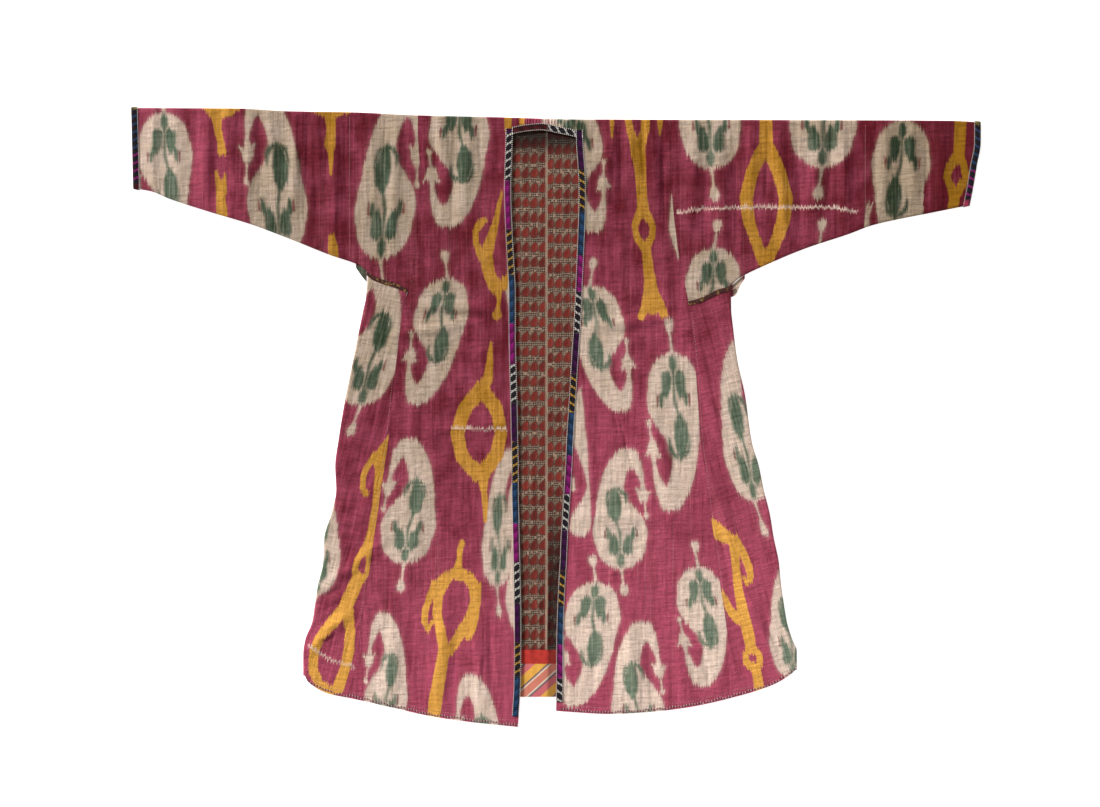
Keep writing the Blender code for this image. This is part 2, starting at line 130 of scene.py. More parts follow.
RIGHT = Half(
    name="right",
    out=-1,
    underarm=0.250,
    strip_seam=-0.410,
    sections=table(
        Section,
        (0.610, -0.376, -0.276, -0.087),
        (0.587, -0.376, -0.276, -0.087),
        (0.574, -0.376, -0.276, -0.087),
        (0.454, -0.376, -0.270, -0.090),
        (0.344, -0.376, -0.278, -0.086),
        (0.274, -0.376, -0.289, -0.082),
        (0.250, -0.376, -0.297, -0.081),
        (0.234, -0.381, -0.302, -0.081),
        (0.174, -0.394, -0.312, -0.081),
        (0.114, -0.406, -0.319, -0.080),
        (0.046, -0.420, -0.326, -0.078),
        (-0.050, -0.436, -0.336, -0.076),
        (-0.098, -0.442, -0.343, -0.075),
        (-0.146, -0.440, -0.350, -0.075),
        (-0.194, -0.450, -0.357, -0.074),
        (-0.242, -0.464, -0.364, -0.073),
        (-0.290, -0.466, -0.371, -0.072),
        (-0.338, -0.477, -0.378, -0.071),
        (-0.410, -0.488, -0.388, -0.070),
        (-0.458, -0.502, -0.395, -0.070),
        (-0.506, -0.506, -0.403, -0.071),
        (-0.566, -0.506, -0.410, -0.076),
    ),
    sleeve=table(
        Edge,
        (-0.850, 0.458),
        (-0.812, 0.452),
        (-0.772, 0.436),
        (-0.692, 0.410),
        (-0.612, 0.386),
        (-0.532, 0.356),
        (-0.452, 0.324),
        (-0.396, 0.304),
        (-0.368, 0.280),
        (-0.304, 0.256),
        (-0.297, 0.250),
    ),
    hem=table(
        Edge,
        (-0.506, -0.508),
        (-0.496, -0.530),
        (-0.452, -0.554),
        (-0.408, -0.563),
        (-0.332, -0.580),
        (-0.252, -0.598),
        (-0.172, -0.610),
        (-0.076, -0.620),
    ),
    cuff=table(Cuff, (0.620, -0.850), (0.458, -0.846)),
    gusset=table(
        Gusset, (-0.404, 0.3040), (-0.396, 0.2920), (-0.387, 0.2790), (-0.3790, 0.2700)
    ),
)

LEFT = Half(
    name="left",
    out=1,
    underarm=0.228,
    strip_seam=0.616,
    sections=table(
        Section,
        (0.610, 0.350, 0.228, 0.040),
        (0.587, 0.350, 0.228, 0.040),
        (0.574, 0.350, 0.228, 0.040),
        (0.454, 0.350, 0.232, 0.046),
        (0.344, 0.350, 0.243, 0.043),
        (0.274, 0.350, 0.256, 0.040),
        (0.228, 0.350, 0.265, 0.038),
        (0.174, 0.355, 0.272, 0.035),
        (0.114, 0.363, 0.278, 0.031),
        (0.046, 0.378, 0.283, 0.027),
        (-0.050, 0.392, 0.290, 0.021),
        (-0.098, 0.406, 0.296, 0.019),
        (-0.146, 0.416, 0.302, 0.016),
        (-0.194, 0.428, 0.309, 0.013),
        (-0.242, 0.436, 0.316, 0.010),
        (-0.290, 0.446, 0.323, 0.008),
        (-0.338, 0.451, 0.329, 0.005),
        (-0.410, 0.462, 0.340, 0.002),
        (-0.458, 0.472, 0.346, 0.001),
        (-0.506, 0.482, 0.350, 0.001),
        (-0.566, 0.482, 0.354, 0.000),
    ),
    sleeve=table(
        Edge,
        (0.265, 0.228),
        (0.288, 0.234),
        (0.328, 0.252),
        (0.348, 0.258),
        (0.374, 0.278),
        (0.428, 0.304),
        (0.508, 0.338),
        (0.588, 0.366),
        (0.628, 0.382),
        (0.668, 0.392),
        (0.748, 0.408),
        (0.828, 0.424),
    ),
    hem=table(
        Edge,
        (0.000, -0.588),
        (0.108, -0.594),
        (0.188, -0.590),
        (0.268, -0.580),
        (0.354, -0.561),
        (0.428, -0.538),
        (0.468, -0.516),
        (0.482, -0.502),
    ),
    cuff=table(
        Cuff, (0.590, 0.850), (0.550, 0.850), (0.502, 0.842), (0.454, 0.834), (0.424, 0.828)
    ),
    gusset=table(
        Gusset, (0.3510, 0.2400), (0.3600, 0.2440), (0.3670, 0.2600), (0.3780, 0.2775)
    ),
)
HALVES = (RIGHT, LEFT)

# The largest folds, as in the solids: middle, half length, half width, height, and how far
# each turns from the run of the warp, in degrees
MOST_FOLD = 0.0022
FOLDS = table(
    Fold,
    (-0.806, 0.530, 0.10, 0.012, 0.0016, -3),
    (-0.758, 0.540, 0.11, 0.013, 0.0014, 2),
    (-0.700, 0.520, 0.13, 0.014, 0.0019, -4),
    (-0.655, 0.560, 0.08, 0.011, 0.0021, 3),
    (-0.618, 0.500, 0.14, 0.013, 0.0018, -2),
    (-0.566, 0.520, 0.12, 0.012, 0.0015, 4),
    (-0.522, 0.500, 0.15, 0.014, 0.0022, -3),
    (-0.478, 0.540, 0.10, 0.011, 0.0017, 2),
    (-0.440, 0.470, 0.17, 0.012, 0.0022, -2),
    (-0.372, 0.500, 0.12, 0.014, 0.0016, 3),
    (-0.322, 0.460, 0.16, 0.012, 0.0018, -3),
    (-0.228, 0.540, 0.10, 0.014, 0.0019, 5),
    (-0.180, 0.500, 0.12, 0.013, 0.0014, -4),
    (-0.200, 0.222, 0.13, 0.013, 0.0020, 84),
    (-0.250, 0.176, 0.09, 0.012, 0.0016, 98),
    (-0.190, -0.020, 0.12, 0.012, 0.0013, 93),
    (-0.280, -0.240, 0.16, 0.016, 0.0014, -12),
    (-0.230, -0.470, 0.13, 0.017, 0.0020, -6),
    (-0.330, -0.500, 0.10, 0.016, 0.0016, -9),
    (-0.150, -0.520, 0.10, 0.015, 0.0018, 3),
    (-0.410, -0.300, 0.10, 0.012, 0.0017, -52),
    (-0.455, -0.430, 0.07, 0.012, 0.0020, -48),
    (0.105, 0.520, 0.11, 0.013, 0.0018, -5),
    (0.150, 0.550, 0.08, 0.012, 0.0015, 4),
    (0.196, 0.500, 0.13, 0.014, 0.0019, 2),
    (0.275, 0.490, 0.14, 0.013, 0.0017, -3),
    (0.330, 0.470, 0.15, 0.014, 0.0020, 3),
    (0.392, 0.510, 0.12, 0.013, 0.0016, -2),
    (0.452, 0.460, 0.16, 0.014, 0.0022, 4),
    (0.520, 0.500, 0.13, 0.013, 0.0017, -4),
    (0.575, 0.480, 0.14, 0.012, 0.0019, 2),
    (0.655, 0.500, 0.12, 0.014, 0.0016, -3),
    (0.712, 0.520, 0.10, 0.012, 0.0019, 3),
    (0.768, 0.490, 0.11, 0.013, 0.0014, -2),
    (0.150, 0.190, 0.12, 0.012, 0.0015, 96),
    (0.210, -0.080, 0.13, 0.015, 0.0016, 12),
    (0.120, -0.200, 0.14, 0.013, 0.0013, 88),
    (0.150, -0.480, 0.12, 0.017, 0.0019, 4),
    (0.250, -0.500, 0.11, 0.016, 0.0017, 9),
    (0.330, -0.180, 0.13, 0.014, 0.0018, 18),
    (0.400, -0.400, 0.10, 0.014, 0.0016, 22),
)
FADE = 0.030
GATHER_HEIGHT = 0.0018
GATHERS = Edge(-0.080, 0.036)
GATHER_PITCH = 0.010

# Soft creases in the face of the cloth, with troughs below zero
CREASES = table(
    Fold,
    (-0.654, 0.520, 0.10, 0.006, -0.0009, 1),
    (-0.624, 0.500, 0.12, 0.005, -0.0007, -2),
    (-0.592, 0.530, 0.09, 0.006, -0.0009, 2),
    (-0.512, 0.540, 0.08, 0.005, -0.0012, 3),
    (-0.498, 0.510, 0.12, 0.005, -0.0008, -2),
    (-0.482, 0.500, 0.13, 0.006, -0.0009, 1),
    (-0.436, 0.480, 0.15, 0.006, -0.0013, -1),
    (-0.422, 0.490, 0.13, 0.005, -0.0008, 2),
    (-0.449, 0.420, 0.06, 0.002, -0.0008, 0),
    (-0.372, 0.450, 0.14, 0.006, -0.0008, 2),
    (-0.344, 0.520, 0.09, 0.005, -0.0007, -3),
    (-0.240, 0.500, 0.11, 0.007, -0.0009, 4),
    (-0.205, 0.470, 0.13, 0.007, -0.0008, -3),
    (-0.150, 0.520, 0.09, 0.006, -0.0008, 5),
    (-0.205, 0.203, 0.09, 0.005, -0.0010, 86),
    (-0.250, 0.187, 0.05, 0.004, -0.0008, 95),
    (-0.169, 0.148, 0.036, 0.003, -0.0010, 75),
    (-0.346, 0.174, 0.045, 0.004, -0.0009, 88),
    (-0.352, 0.120, 0.035, 0.004, -0.0006, 93),
    (-0.130, -0.476, 0.08, 0.006, -0.0010, 2),
    (-0.146, -0.520, 0.05, 0.005, -0.0009, -3),
    (-0.205, -0.500, 0.08, 0.007, -0.0008, -5),
    (-0.448, -0.352, 0.024, 0.004, -0.0009, -62),
    (-0.442, -0.376, 0.028, 0.004, -0.0011, -66),
    (-0.452, -0.398, 0.026, 0.004, -0.0009, -58),
    (-0.446, -0.424, 0.024, 0.004, -0.0010, -64),
    (-0.458, -0.446, 0.022, 0.004, -0.0008, -60),
    (-0.408, -0.209, 0.028, 0.003, 0.0009, 90),
    (-0.410, -0.225, 0.022, 0.004, -0.0009, 80),
    (-0.404, -0.246, 0.024, 0.004, -0.0008, 76),
    (-0.412, -0.270, 0.022, 0.005, -0.0008, 82),
    (-0.420, -0.298, 0.020, 0.005, -0.0009, 78),
    (-0.425, -0.324, 0.020, 0.005, -0.0008, 84),
    (-0.364, -0.268, 0.016, 0.002, -0.0008, 92),
    (0.139, -0.050, 0.056, 0.003, -0.0009, 14),
    (0.120, -0.012, 0.030, 0.003, -0.0006, 12),
    (0.130, 0.480, 0.12, 0.007, -0.0009, -3),
    (0.176, 0.520, 0.09, 0.006, -0.0010, 3),
    (0.215, 0.470, 0.12, 0.006, -0.0008, 2),
    (0.303, 0.480, 0.11, 0.007, -0.0009, -4),
    (0.360, 0.460, 0.13, 0.006, -0.0008, 2),
    (0.423, 0.500, 0.10, 0.006, -0.0010, -2),
    (0.486, 0.480, 0.12, 0.007, -0.0009, 3),
    (0.548, 0.500, 0.10, 0.006, -0.0008, -3),
    (0.640, 0.490, 0.09, 0.006, -0.0009, 2),
    (0.690, 0.500, 0.08, 0.006, -0.0007, -3),
    (0.740, 0.510, 0.08, 0.006, -0.0009, 2),
    (0.160, 0.208, 0.10, 0.005, -0.0008, 92),
    (0.140, 0.170, 0.07, 0.004, -0.0006, 97),
    (0.075, -0.520, 0.06, 0.006, -0.0009, -4),
    (0.190, -0.510, 0.07, 0.007, -0.0010, 5),
    (0.300, -0.500, 0.06, 0.006, -0.0009, 11),
    (0.372, -0.300, 0.08, 0.007, -0.0008, 20),
    (0.430, -0.430, 0.05, 0.006, -0.0009, 24),
)
MOST_PUCKER = 0.0008
CREASE_DEPTH = 2.6
FOLD_RISE = 2.8
DEEPEST = -0.0023

# Folds of the lining between the fronts
LINING_FOLDS = table(
    Fold,
    (-0.047, -0.140, 0.10, 0.0030, 0.0022, 2),
    (-0.056, -0.290, 0.12, 0.0030, 0.0016, -3),
    (-0.034, -0.400, 0.13, 0.0035, 0.0024, 3),
    (-0.050, -0.470, 0.09, 0.0025, 0.0020, 6),
    (-0.018, -0.430, 0.12, 0.0030, 0.0026, -2),
    (-0.062, 0.420, 0.08, 0.0040, 0.0010, 2),
    (0.014, 0.380, 0.10, 0.0040, 0.0012, -3),
)

# The ikat is drawn on a board whose tables count tied bundles of warp, to the right and down
BUNDLE = 0.002
BOARD = Edge(-1.112, 0.834)
FAR = 20.0
Mark = namedtuple("Mark", "dye points")
Boteh = namedtuple("Boteh", "x y wide tall lean side way hook", defaults=(True,))

# One boteh, standing on its point at the origin with its tail hooked over to the right.
# Rows of a stroke are x, y and half width, in bundles
BOTEH_WIDE = 56
BOTEH_TALL = 124
BOTEH_PARTS = (
    Mark(
        "cream",
        (
            (0, 27, 25),
            (-1, 38, 27.5),
            (-3.8, 48, 23.4),
            (-6.4, 57, 19),
            (-9, 66, 16),
            (-10, 75, 13.4),
            (-9.4, 84, 12),
            (-7.4, 93, 11.4),
            (-3.6, 103, 10.8),
            (3, 112, 10.4),
        ),
    ),
    Mark("hook", ((3, 112, 10.4), (8.6, 113.6, 9), (14, 108, 6.4), (17.8, 101, 4), (20, 94, 2.8))),
    Mark(
        "hook",
        (
            (20, 94, 2.6), (21.3, 87, 1.8), (21.7, 81, 3), (22.2, 76, 5.6), (22.8, 72, 4),
            (23.2, 69, 1.4),
        ),
    ),
    Mark("hook", ((15.6, 81.5, 1.1), (21, 77, 3.4))),
    Mark("hook", ((28.8, 79.5, 1.1), (23, 76, 3.4))),
    Mark("hook", ((23.2, 69, 1.4), (24, 65, 0.9), (24.8, 59, 1), (25.2, 55, 2.6))),
    Mark("cream", ((0, 3, 2.2), (1.2, -5, 1), (2.2, -12, 1), (2.6, -15.6, 3.2), (3.2, -20, 4.4))),
    Mark("green", ((-5.6, 83, 1.6), (-6.4, 76, 5), (-7, 66, 7.6), (-6.6, 58, 6.6), (-5.4, 51, 3))),
    Mark("green", ((-8, 81, 1.4), (-12.5, 78, 1.8), (-14.2, 72, 1.4), (-14.4, 66, 0.8))),
    Mark("green", ((-4, 81, 1.6), (1, 79.5, 2), (4.6, 75, 1.8), (5.4, 68, 0.9))),
    Mark("green", ((-4.6, 50, 1.1), (-1, 38, 1.5), (-0.5, 14, 1.1))),
    Mark("green", ((-0.4, 18, 0.8), (-0.4, 12.5, 3.8), (-0.2, 8, 3.6), (0, 4, 0.8))),
    Mark("green", ((-7.4, 35, 2), (-7.2, 28, 5), (-6.6, 21, 5.6), (-6, 17.5, 2.6))),
    Mark("green", ((-12.6, 41, 1.7), (-12, 35, 2.6), (-8.4, 30, 3))),
    Mark("green", ((7.2, 35, 2), (6.8, 28, 4.8), (6.4, 21, 5.4), (5.8, 17.5, 2.4))),
    Mark("green", ((12.6, 42, 1.6), (12, 36, 2.6), (8.4, 30, 2.8))),
    Mark("brown", ((-16, 41, 0.8), (-15.8, 34, 1.2))),
    Mark("brown", ((16, 42, 0.8), (16, 35, 1.2))),
)

PATTERN = {
    "sleeve_lower_right": (
        Boteh(164, 110, 56, 150, 0, -1, -1),
        Boteh(281, 258, 61, 172, -15, -1, 1),
        Mark("yellow", ((206, 106, 4), (216, 113, 7), (228, 110, 7), (238, 104, 5))),
        Mark("yellow", ((216, 112, 6), (218, 130, 3.6), (221, 143, 3.6), (222, 151, 4.6))),
        Mark("yellow", ((216, 172, 1.2), (220, 188, 4), (222, 214, 5.6))),
        Mark("yellow", ((225, 175, 1.2), (223, 192, 4))),
        Mark("yellow", ((312, 108, 4), (330, 112, 7), (350, 108, 5))),
        Mark(
            "yellow",
            (
                (330, 112, 6), (331, 130, 4.6), (330, 145, 5.6), (331, 152, 3), (331, 175, 1.2),
            ),
        ),
        Mark("yellow", ((332, 238, 3.6), (333, 248, 5), (334, 262, 5))),
    ),
    "sleeve_upper_right": (Boteh(380, 262, 62, 175, 20, 1, 1),),
    "body_right": (
        Boteh(460, 91, 62, 138, -6, -1, -1),
        Boteh(448, 276, 55, 130, -26, -1, -1),
        Boteh(404, 566, 56, 129, 11, -1, 1),
        Boteh(384, 737, 44, 126, 4, -1, 1),
        Boteh(497, 589, 36, 142, 10, 1, 1),
        Boteh(480, 803, 50, 130, -4, -1, 1),
        Boteh(528, 330, 44, 130, 0, 1, 1),
        Boteh(528, 470, 44, 130, 0, -1, -1),
        Boteh(528, 640, 44, 130, 0, 1, 1),
        Mark("yellow", ((502, 192, 1), (499, 206, 2.2), (496, 221, 3), (491, 238, 5), (486, 256, 6.4))),
        Mark("yellow", ((486, 256, 6.4), (489, 274, 6), (496, 287, 7), (503, 285, 5), (509, 274, 3))),
        Mark(
            "yellow",
            (
                (482, 258, 4), (476, 243, 3), (475.5, 231, 3), (480, 223, 3.4), (485, 220, 2.6),
            ),
        ),
        Mark("yellow", ((498, 290, 4), (499, 300, 1.8), (498, 308, 2), (497, 315, 5))),
        Mark("yellow", ((491, 343, 1.4), (490, 360, 3.2), (488, 378, 5), (481, 390, 7))),
        Mark(
            "yellow",
            (
                (481, 389, 8), (464, 410, 6.8), (457, 434, 6.6), (462, 456, 6.8), (478, 474, 8),
            ),
        ),
        Mark("yellow", ((481, 389, 8), (497, 410, 6.4), (501, 434, 6), (496, 456, 6.6), (482, 474, 8))),
        Mark("yellow", ((482, 474, 7), (484, 492, 2.8), (485, 500, 3.2), (485.4, 522, 1.6))),
        Mark("pale", ((452, 428, 0.9), (506, 429, 0.9))),
        Mark("yellow", ((462, 543, 3), (460, 551, 2.8), (459.4, 560, 2.6), (457.5, 571, 5))),
        Mark(
            "yellow",
            (
                (457.5, 573, 6), (446.6, 577, 5), (436, 584, 4.4), (430, 596, 3.6), (425, 610, 3.2),
            ),
        ),
        Mark("yellow", ((425, 610, 3.2), (424.4, 622, 3.2), (428, 629, 2.8), (433, 621, 1.4))),
        Mark(
            "yellow",
            (
                (446, 580, 5), (438.6, 594, 4.6), (437, 613, 4.6), (441, 632, 4.8), (444, 650, 5.4),
            ),
        ),
        Mark("yellow", ((444, 650, 5.4), (440.5, 671, 6.2), (435.6, 700, 6.6), (433, 722, 6.6))),
        Mark(
            "yellow",
            (
                (458, 573, 6), (468, 577, 6), (475, 587, 6.4), (475.6, 602, 5.2), (469.6, 618, 4.8),
            ),
        ),
        Mark("yellow", ((469.6, 618, 4.8), (458, 638, 4.8), (448, 652, 5))),
        Mark(
            "yellow",
            (
                (476, 602, 4), (475.4, 616, 3.6), (472.6, 629, 3.4), (468.4, 638, 2.6),
                (465, 632, 1.4),
            ),
        ),
        Mark("yellow", ((508, 110, 4), (508, 130, 3.4))),
        Mark("yellow", ((522, 110, 3), (522, 124, 2.4))),
        Mark("cream", ((546, 110, 4), (546, 132, 4))),
    ),
    "gore_right": (
        Boteh(360, 408, 58, 143, 27, -1, 1),
        Boteh(317, 597, 46, 132, 0, -1, 1),
        Mark(
            "yellow",
            (
                (389, 435, 1.6), (386, 444, 3.6), (380, 458, 7), (380, 471, 5), (377, 488, 3.5),
                (375.5, 505, 3.3), (371.5, 530, 3.6), (368, 546, 5),
            ),
        ),
        Mark("yellow", ((376, 455, 4), (367, 467, 3), (363, 477, 2.8), (363, 487, 3), (366, 494, 3))),
        Mark("yellow", ((368, 546, 5), (358, 558, 3), (355, 569, 3), (358, 578, 5))),
        Mark("yellow", ((368, 546, 4), (369, 562, 2.6), (367, 574, 2.6), (360, 580, 5))),
        Mark(
            "yellow",
            (
                (358, 578, 6), (352, 592, 7), (345, 608, 7), (332, 623, 6), (320, 637, 5),
                (314, 652, 4.6), (313, 669, 4.6), (319, 684, 4.6), (332, 692, 5),
            ),
        ),
        Mark("yellow", ((347, 606, 6), (350, 630, 5), (349, 650, 5.4), (345, 669, 5), (338, 688, 6))),
        Mark("pale", ((309, 646, 1), (322, 655, 1), (338, 662, 1), (356, 667, 1))),
    ),
    "sleeve_upper_left": (
        Boteh(711, 171, 63, 150, 0, 1, 1),
        Boteh(822, 170, 69, 150, 0, -1, 1),
        Boteh(714, 246, 58, 130, 0, 1, -1),
        Boteh(819, 245, 56, 130, 0, 1, -1),
        Mark("yellow", ((766, 112, 6), (766, 148, 7))),
        Mark(
            "yellow",
            (
                (763, 150, 7), (752, 172, 6), (746, 198, 6.4), (749, 222, 6), (757, 244, 5.6),
                (764, 262, 6),
            ),
        ),
        Mark(
            "yellow",
            (
                (769, 150, 7), (779, 172, 6.8), (786, 198, 7), (783, 222, 6.8), (775, 244, 5.6),
                (767, 262, 6),
            ),
        ),
        Mark("pale", ((678, 213, 1), (700, 208, 1.1), (760, 207, 1.1), (830, 207, 1.1), (856, 212, 1))),
    ),
    "sleeve_lower_left": (
        Boteh(903, 118, 60, 149, -3, 1, -1, False),
        Mark("yellow", ((961, 112, 6), (959, 156, 5.6))),
        Mark(
            "yellow",
            (
                (958, 156, 5.6), (950, 166, 4), (946.6, 176, 3.6), (951, 187, 4.2), (954, 197, 5),
            ),
        ),
        Mark(
            "yellow",
            (
                (959, 156, 5.6), (964, 166, 3.6), (966, 176, 3.6), (961, 187, 4.2), (954, 197, 5),
            ),
        ),
        Mark("yellow", ((955, 194, 5.2), (952, 214, 5.4))),
        Mark("cream", ((903, 180, 24), (903, 205, 21), (904, 226, 17))),
        Mark("cream", ((868, 203, 1), (867, 214, 1.5), (866, 230, 4))),
        Mark("cream", ((872, 204, 1), (868, 215, 1.4))),
    ),
    "body_left": (
        Boteh(572, 104, 54, 130, 16, 1, -1),
        Boteh(590, 283, 56, 130, 25, 1, -1),
        Boteh(672, 350, 56, 163, 5, -1, -1),
        Boteh(621, 571, 56, 124, 0, 1, 1),
        Boteh(596, 580, 58, 128, -16, -1, -1),
        Boteh(640, 749, 54, 129, -4, 1, 1),
        Boteh(698, 565, 52, 123, 11, -1, -1),
        Mark(
            "cream",
            (
                (580, 388, 0.8), (578.5, 397, 3.8), (578, 412, 6), (577.5, 430, 7.5), (580, 442, 7),
            ),
        ),
        Mark("cream", ((580, 442, 7), (583.5, 456, 4.6), (586, 470, 2.4), (588.4, 486, 1))),
        Mark(
            "cream",
            (
                (588.4, 486, 1), (587.4, 496, 3), (584, 508, 7), (581, 520, 10.4), (580, 526, 10.4),
            ),
        ),
        Mark("cream", ((573, 480, 1.5), (573, 489, 2.4))),
        Mark(
            "cream",
            (
                (672, 197, 0.8), (673, 212, 3), (673.5, 229, 4.6), (676, 243, 3.4),
                (678.5, 257, 0.8),
            ),
        ),
        Mark("cream", ((565, 108, 17), (565, 130, 17))),
        Mark("green", ((560, 108, 4), (560, 122, 3))),
        Mark("green", ((572, 108, 4), (573, 124, 3))),
        Mark("yellow", ((627, 112, 3.4), (630, 130, 3.6), (634, 142, 4.4), (638, 153, 7))),
        Mark("yellow", ((646, 112, 4.4), (645, 130, 4.4), (641, 143, 5), (638, 153, 7))),
        Mark(
            "yellow",
            (
                (638, 153, 7.4), (640, 166, 6), (641, 181, 5.2), (642, 197, 5.2), (643, 211, 6),
            ),
        ),
        Mark("yellow", ((641, 212, 5), (634.6, 225, 3), (636.6, 237, 3.2), (644, 247, 5))),
        Mark("yellow", ((645, 212, 5), (653, 226, 3), (652, 237, 3.2), (646, 247, 5))),
        Mark("yellow", ((646, 248, 4.6), (648, 265, 5), (650, 280, 5.8), (651, 293, 7.6))),
        Mark("yellow", ((650, 294, 7), (646, 306, 5), (641, 317, 3.6))),
        Mark("yellow", ((652, 294, 7), (658, 304, 6), (664, 314, 4))),
        Mark("yellow", ((652, 298, 8), (653, 308, 7))),
        Mark("yellow", ((612, 112, 2.6), (612, 124, 2.2), (612, 138, 0.9))),
        Mark("yellow", ((660, 112, 3.4), (660, 124, 2.6), (660, 135, 1))),
    ),
    "gore_left": (
        Boteh(755, 504, 48, 164, -23, 1, 1),
        Boteh(794, 681, 46, 128, -5, 1, 1),
        Mark("yellow", ((713, 522, 3), (717.6, 531, 7), (726, 537, 6.8), (734, 541, 5.8))),
        Mark(
            "yellow",
            (
                (733, 539, 5.2), (741.7, 551, 4.2), (748.4, 565, 3.8), (750.8, 577, 3),
                (747, 584, 2.2), (743.6, 577, 1.2),
            ),
        ),
        Mark(
            "yellow",
            (
                (733, 541, 4.6), (735, 556, 4.2), (736, 569, 4), (738.3, 590, 4.4), (743, 612, 5.4),
                (748.4, 634, 5.8), (751, 648, 5),
            ),
        ),
        Mark("yellow", ((722.3, 592, 1.6), (729, 609, 4), (739, 620, 5))),
        Mark("yellow", ((751, 648, 5), (745.8, 654, 3), (746, 662, 3), (756, 669, 4.6))),
        Mark("yellow", ((751, 648, 5), (759, 654, 3), (760, 662, 3), (756, 669, 4.6), (760, 692, 5))),
    ),
    "gusset_right": (Mark("green", ((361, 268, 5), (361, 284, 5))),),
    "gusset_left": (Mark("cream", ((738, 280, 5), (738, 297, 4))),),
}
DYES = ("cream", "green", "yellow", "brown", "pale")

# How the warp of a gore leans, in degrees
LEANS = {"gore_right": 14, "gore_left": -14}

# How deep the dyes are down each side of the body, and along the sleeves
Tone = namedtuple("Tone", "y right left")
BODY_TONES = table(
    Tone,
    (0.62, 0.80, 0.84),
    (0.45, 0.76, 0.82),
    (0.17, 0.74, 0.46),
    (-0.13, 0.52, 0.26),
    (-0.45, 0.17, 0.04),
    (-0.62, 0.08, 0.00),
)
Along = namedtuple("Along", "x tone")
SLEEVE_TONES = table(
    Along,
    (-0.85, 0.36),
    (-0.68, 0.50),
    (-0.60, 0.78),
    (-0.28, 0.82),
    (0.27, 0.72),
    (0.60, 0.78),
    (0.66, 1.08),
    (0.85, 1.2),
)

# Blocks of a braid: colour, whether it has hooks, and where the block ends, from its start
Block = namedtuple("Block", "colour hooks end")
PLUM, MAGENTA, BONE, GOLD, BLUE = "plum", "magenta", "bone", "gold", "blue"
RIGHT_BLOCKS = table(
    Block,
    (PLUM, 0, 0.020),
    (BONE, 1, 0.116),
    (MAGENTA, 0, 0.214),
    (GOLD, 1, 0.304),
    (BLUE, 0, 0.402),
    (MAGENTA, 0, 0.484),
    (BONE, 1, 0.562),
    (PLUM, 0, 0.638),
    (GOLD, 1, 0.720),
    (BLUE, 0, 0.802),
    (MAGENTA, 0, 0.880),
    (BONE, 1, 0.962),
    (PLUM, 0, 1.040),
    (GOLD, 1, 1.108),
    (BLUE, 0, 1.300),
)
LEFT_BLOCKS = table(
    Block,
    (PLUM, 0, 0.100),
    (GOLD, 1, 0.184),
    (BLUE, 0, 0.272),
    (MAGENTA, 0, 0.344),
    (BONE, 1, 0.428),
    (PLUM, 0, 0.510),
    (GOLD, 1, 0.586),
    (BLUE, 0, 0.672),
    (MAGENTA, 0, 0.750),
    (BONE, 1, 0.824),
    (PLUM, 0, 0.904),
    (GOLD, 1, 0.976),
    (BLUE, 0, 1.052),
    (MAGENTA, 0, 1.120),
    (BONE, 1, 1.300),
)
NECK_BLOCKS = table(Block, ("garnet", 0, 0.070), (BONE, 1, 0.200))
RIGHT_CUFF_BLOCKS = table(
    Block, ("garnet", 0, 0.012), (MAGENTA, 1, 0.082), (BLUE, 1, 0.170), ("olive", 0, 0.300)
)
LEFT_CUFF_BLOCKS = table(
    Block, ("rose", 0, 0.014), (MAGENTA, 1, 0.076), (BLUE, 1, 0.166), ("olive", 0, 0.300)
)


class RobeSizes(bpy.types.PropertyGroup):
    """Sizes of the cloth's finer form."""

    column_step: bpy.props.FloatProperty(
        name="Column step", description="Between columns of points", default=0.0027, unit="LENGTH"
    )
    row_step: bpy.props.FloatProperty(
        name="Row step", description="Between rows of points of the front", default=0.0049, unit="LENGTH"
    )
    back_step: bpy.props.FloatProperty(
        name="Back row step", description="Between rows of points of the back", default=0.012, unit="LENGTH"
    )
    thread: bpy.props.FloatProperty(
        name="Thread bundle", description="Width of a bundle of dyed warp", default=0.0024, unit="LENGTH"
    )
    feather: bpy.props.FloatProperty(
        name="Feather", description="How far bundles slip along the warp", default=0.018, unit="LENGTH"
    )
    rib: bpy.props.FloatProperty(
        name="Rib", description="Distance between the ribs of the weft", default=0.0009, unit="LENGTH"
    )
    picot_pitch: bpy.props.FloatProperty(
        name="Picot pitch", description="Between the knots of a braid's edge", default=0.0040, unit="LENGTH"
    )
    picot_radius: bpy.props.FloatProperty(
        name="Picot size", description="Radius of a knot of a braid's edge", default=0.00105, unit="LENGTH"
    )
    stitch_pitch: bpy.props.FloatProperty(
        name="Stitch pitch", description="Between the stitches of a seam", default=0.0052, unit="LENGTH"
    )


def colour_property(name, description, colour):
    return bpy.props.FloatVectorProperty(
        name=name, description=description, default=colour, subtype="COLOR", size=3, min=0.0, max=1.0
    )


